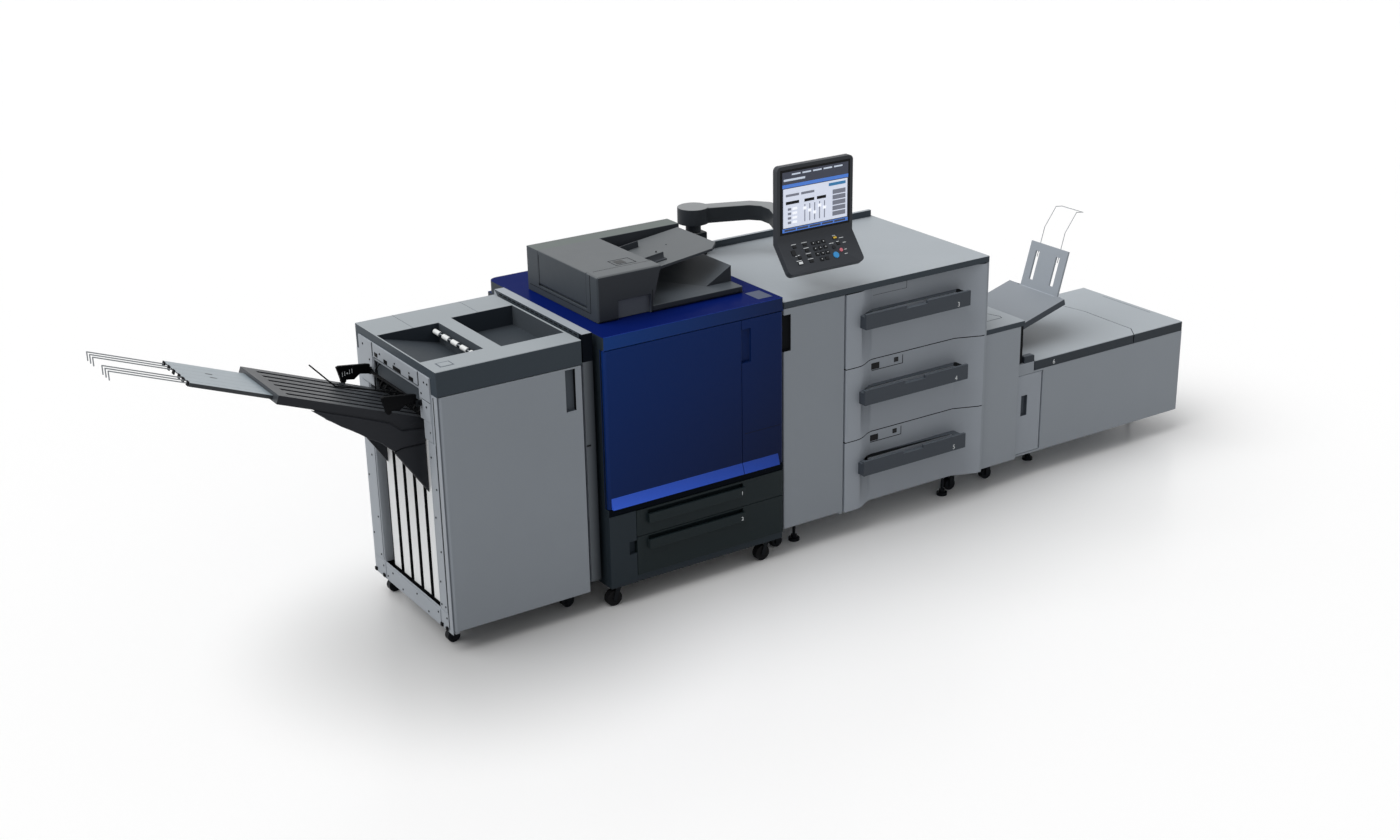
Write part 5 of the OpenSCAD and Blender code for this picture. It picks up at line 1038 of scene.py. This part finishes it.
# ---------------------------------------------------------------- tower and magazine details
corners = [(1832, 102, 706), (1919, 102, 706), (1925, 120, 706), (1904, 178, 706), (1832, 178, 706)]
gather("tower_hatch", [
    bar("hatch_edge", p, q, 0.9, "dark_recess", "tower_top", soft=0.2, sides=8)
    for p, q in zip(corners, corners[1:])])
digit("6", 26, (2158, 37.6, 486), "magazine_left_lid")
gather("lid_latch", [
    slab("lid_latch", (1994, 39, 488), (2050, 70, 538), 3, "lid_band", "magazine_cabinet"),
    slab("latch_top", (1998, 44, 536), (2046, 66, 539.4), 1.5, "handle_grey", "magazine_cabinet")])
slab("lid_ridge", (2881.6, 203, 511.8), (2884, 491, 512.5), 0.3, "handle_grey",
     "magazine_right_lid")

# ---------------------------------------------------------------- floor gear
dress("levelling_feet", "black_metal", 2, 1)
dress("cabinet_casters", "black_metal", 1, 0.6)
for side in ("left", "right"):
    dress(f"{side}_caster_fork", "black_metal", 1, 0.6)
    dress(f"{side}_caster_wheel", "black_tyre", 3, 2)


# ---------------------------------------------------------------- stage
LENS = 48.706
CAMERA_PLACE = (-3067.06, -5294.68, 3141.64)
CAMERA_YAW, CAMERA_PITCH, CAMERA_ROLL = 0.5785515, 0.3753615, -0.0181332
TRAY_SHADOW = (-1.15, -0.3, 0)


def seen_rays(tree, *kinds):
    """One for rays of these kinds, nought for the rest."""
    ray = put(tree, "ShaderNodeLightPath")
    seen = ray.outputs[kinds[0]]
    for kind in kinds[1:]:
        seen = count_on(tree, "MAXIMUM", seen, ray.outputs[kind])
    return seen


def build_floor():
    """Pale floor with a painted soft shadow, darker below the stacking tray."""
    bpy.ops.object.select_all(action="DESELECT")
    bpy.ops.mesh.primitive_plane_add(size=80, location=(0, 0, 0))
    floor = bpy.context.active_object
    floor.name = "studio_floor"
    m, tree = new_material("studio_floor")
    seen = seen_rays(tree, "Is Camera Ray", "Is Glossy Ray")
    tone = blend(tree, seen, (0.42, 0.42, 0.42, 1), (1, 1, 1, 1))
    # Painted shadow: the floor darkens towards a point below the stacking tray.
    away = count_vectors(tree, "DISTANCE", object_place(tree), TRAY_SHADOW, result="Value")
    shade = spread(tree, away, 0.1, 1.0, 0.62, 1.0, interpolation_type="SMOOTHSTEP")
    tone = count_vectors(tree, "SCALE", tone, Scale=shade)
    p = put(tree, "ShaderNodeBsdfPrincipled", Base_Color=tone, Roughness=0.3,
            Specular_IOR_Level=0.25)
    put(tree, "ShaderNodeOutputMaterial", Surface=p.outputs[0])
    floor.data.materials.append(m)


def build_light():
    """Plain bright surroundings and a soft light from above."""
    world = bpy.data.worlds.new("studio")
    bpy.context.scene.world = world
    world.use_nodes = True
    tree = world.node_tree
    tree.nodes.clear()
    seen = seen_rays(tree, "Is Camera Ray", "Is Glossy Ray", "Is Transmission Ray")
    level = spread(tree, seen, 0.0, 1.0, 0.4, 1.0)
    sky = put(tree, "ShaderNodeBackground", Color=(1, 1, 1, 1), Strength=level)
    put(tree, "ShaderNodeOutputWorld", Surface=sky.outputs[0])
    lamp = bpy.data.lights.new("top_light", "SUN")
    lamp.energy, lamp.angle = 2.2, math.radians(60)
    sun = bpy.data.objects.new("top_light", lamp)
    sun.rotation_euler = Vector((-0.6, 0.15, 1)).to_track_quat("Z", "Y").to_euler()
    bpy.context.scene.collection.objects.link(sun)


def build_camera():
    """Camera in the photograph's place, found by fitting the long straight edges."""
    level = math.cos(CAMERA_PITCH)
    forward = Vector((math.sin(CAMERA_YAW) * level, math.cos(CAMERA_YAW) * level,
                      -math.sin(CAMERA_PITCH)))
    right = forward.cross(Vector((0, 0, 1))).normalized()
    up = right.cross(forward)
    across = right * math.cos(CAMERA_ROLL) + up * math.sin(CAMERA_ROLL)
    above = up * math.cos(CAMERA_ROLL) - right * math.sin(CAMERA_ROLL)
    data = bpy.data.cameras.new("camera")
    data.sensor_width, data.lens = 36, LENS
    data.clip_end = 200
    camera = bpy.data.objects.new("camera", data)
    turn = Matrix((across, above, -forward)).transposed().to_4x4()
    camera.matrix_world = Matrix.Translation(at(*CAMERA_PLACE)) @ turn
    bpy.context.scene.collection.objects.link(camera)
    bpy.context.scene.camera = camera


build_floor()
build_light()
build_camera()
bpy.context.scene.view_settings.view_transform = "Standard"
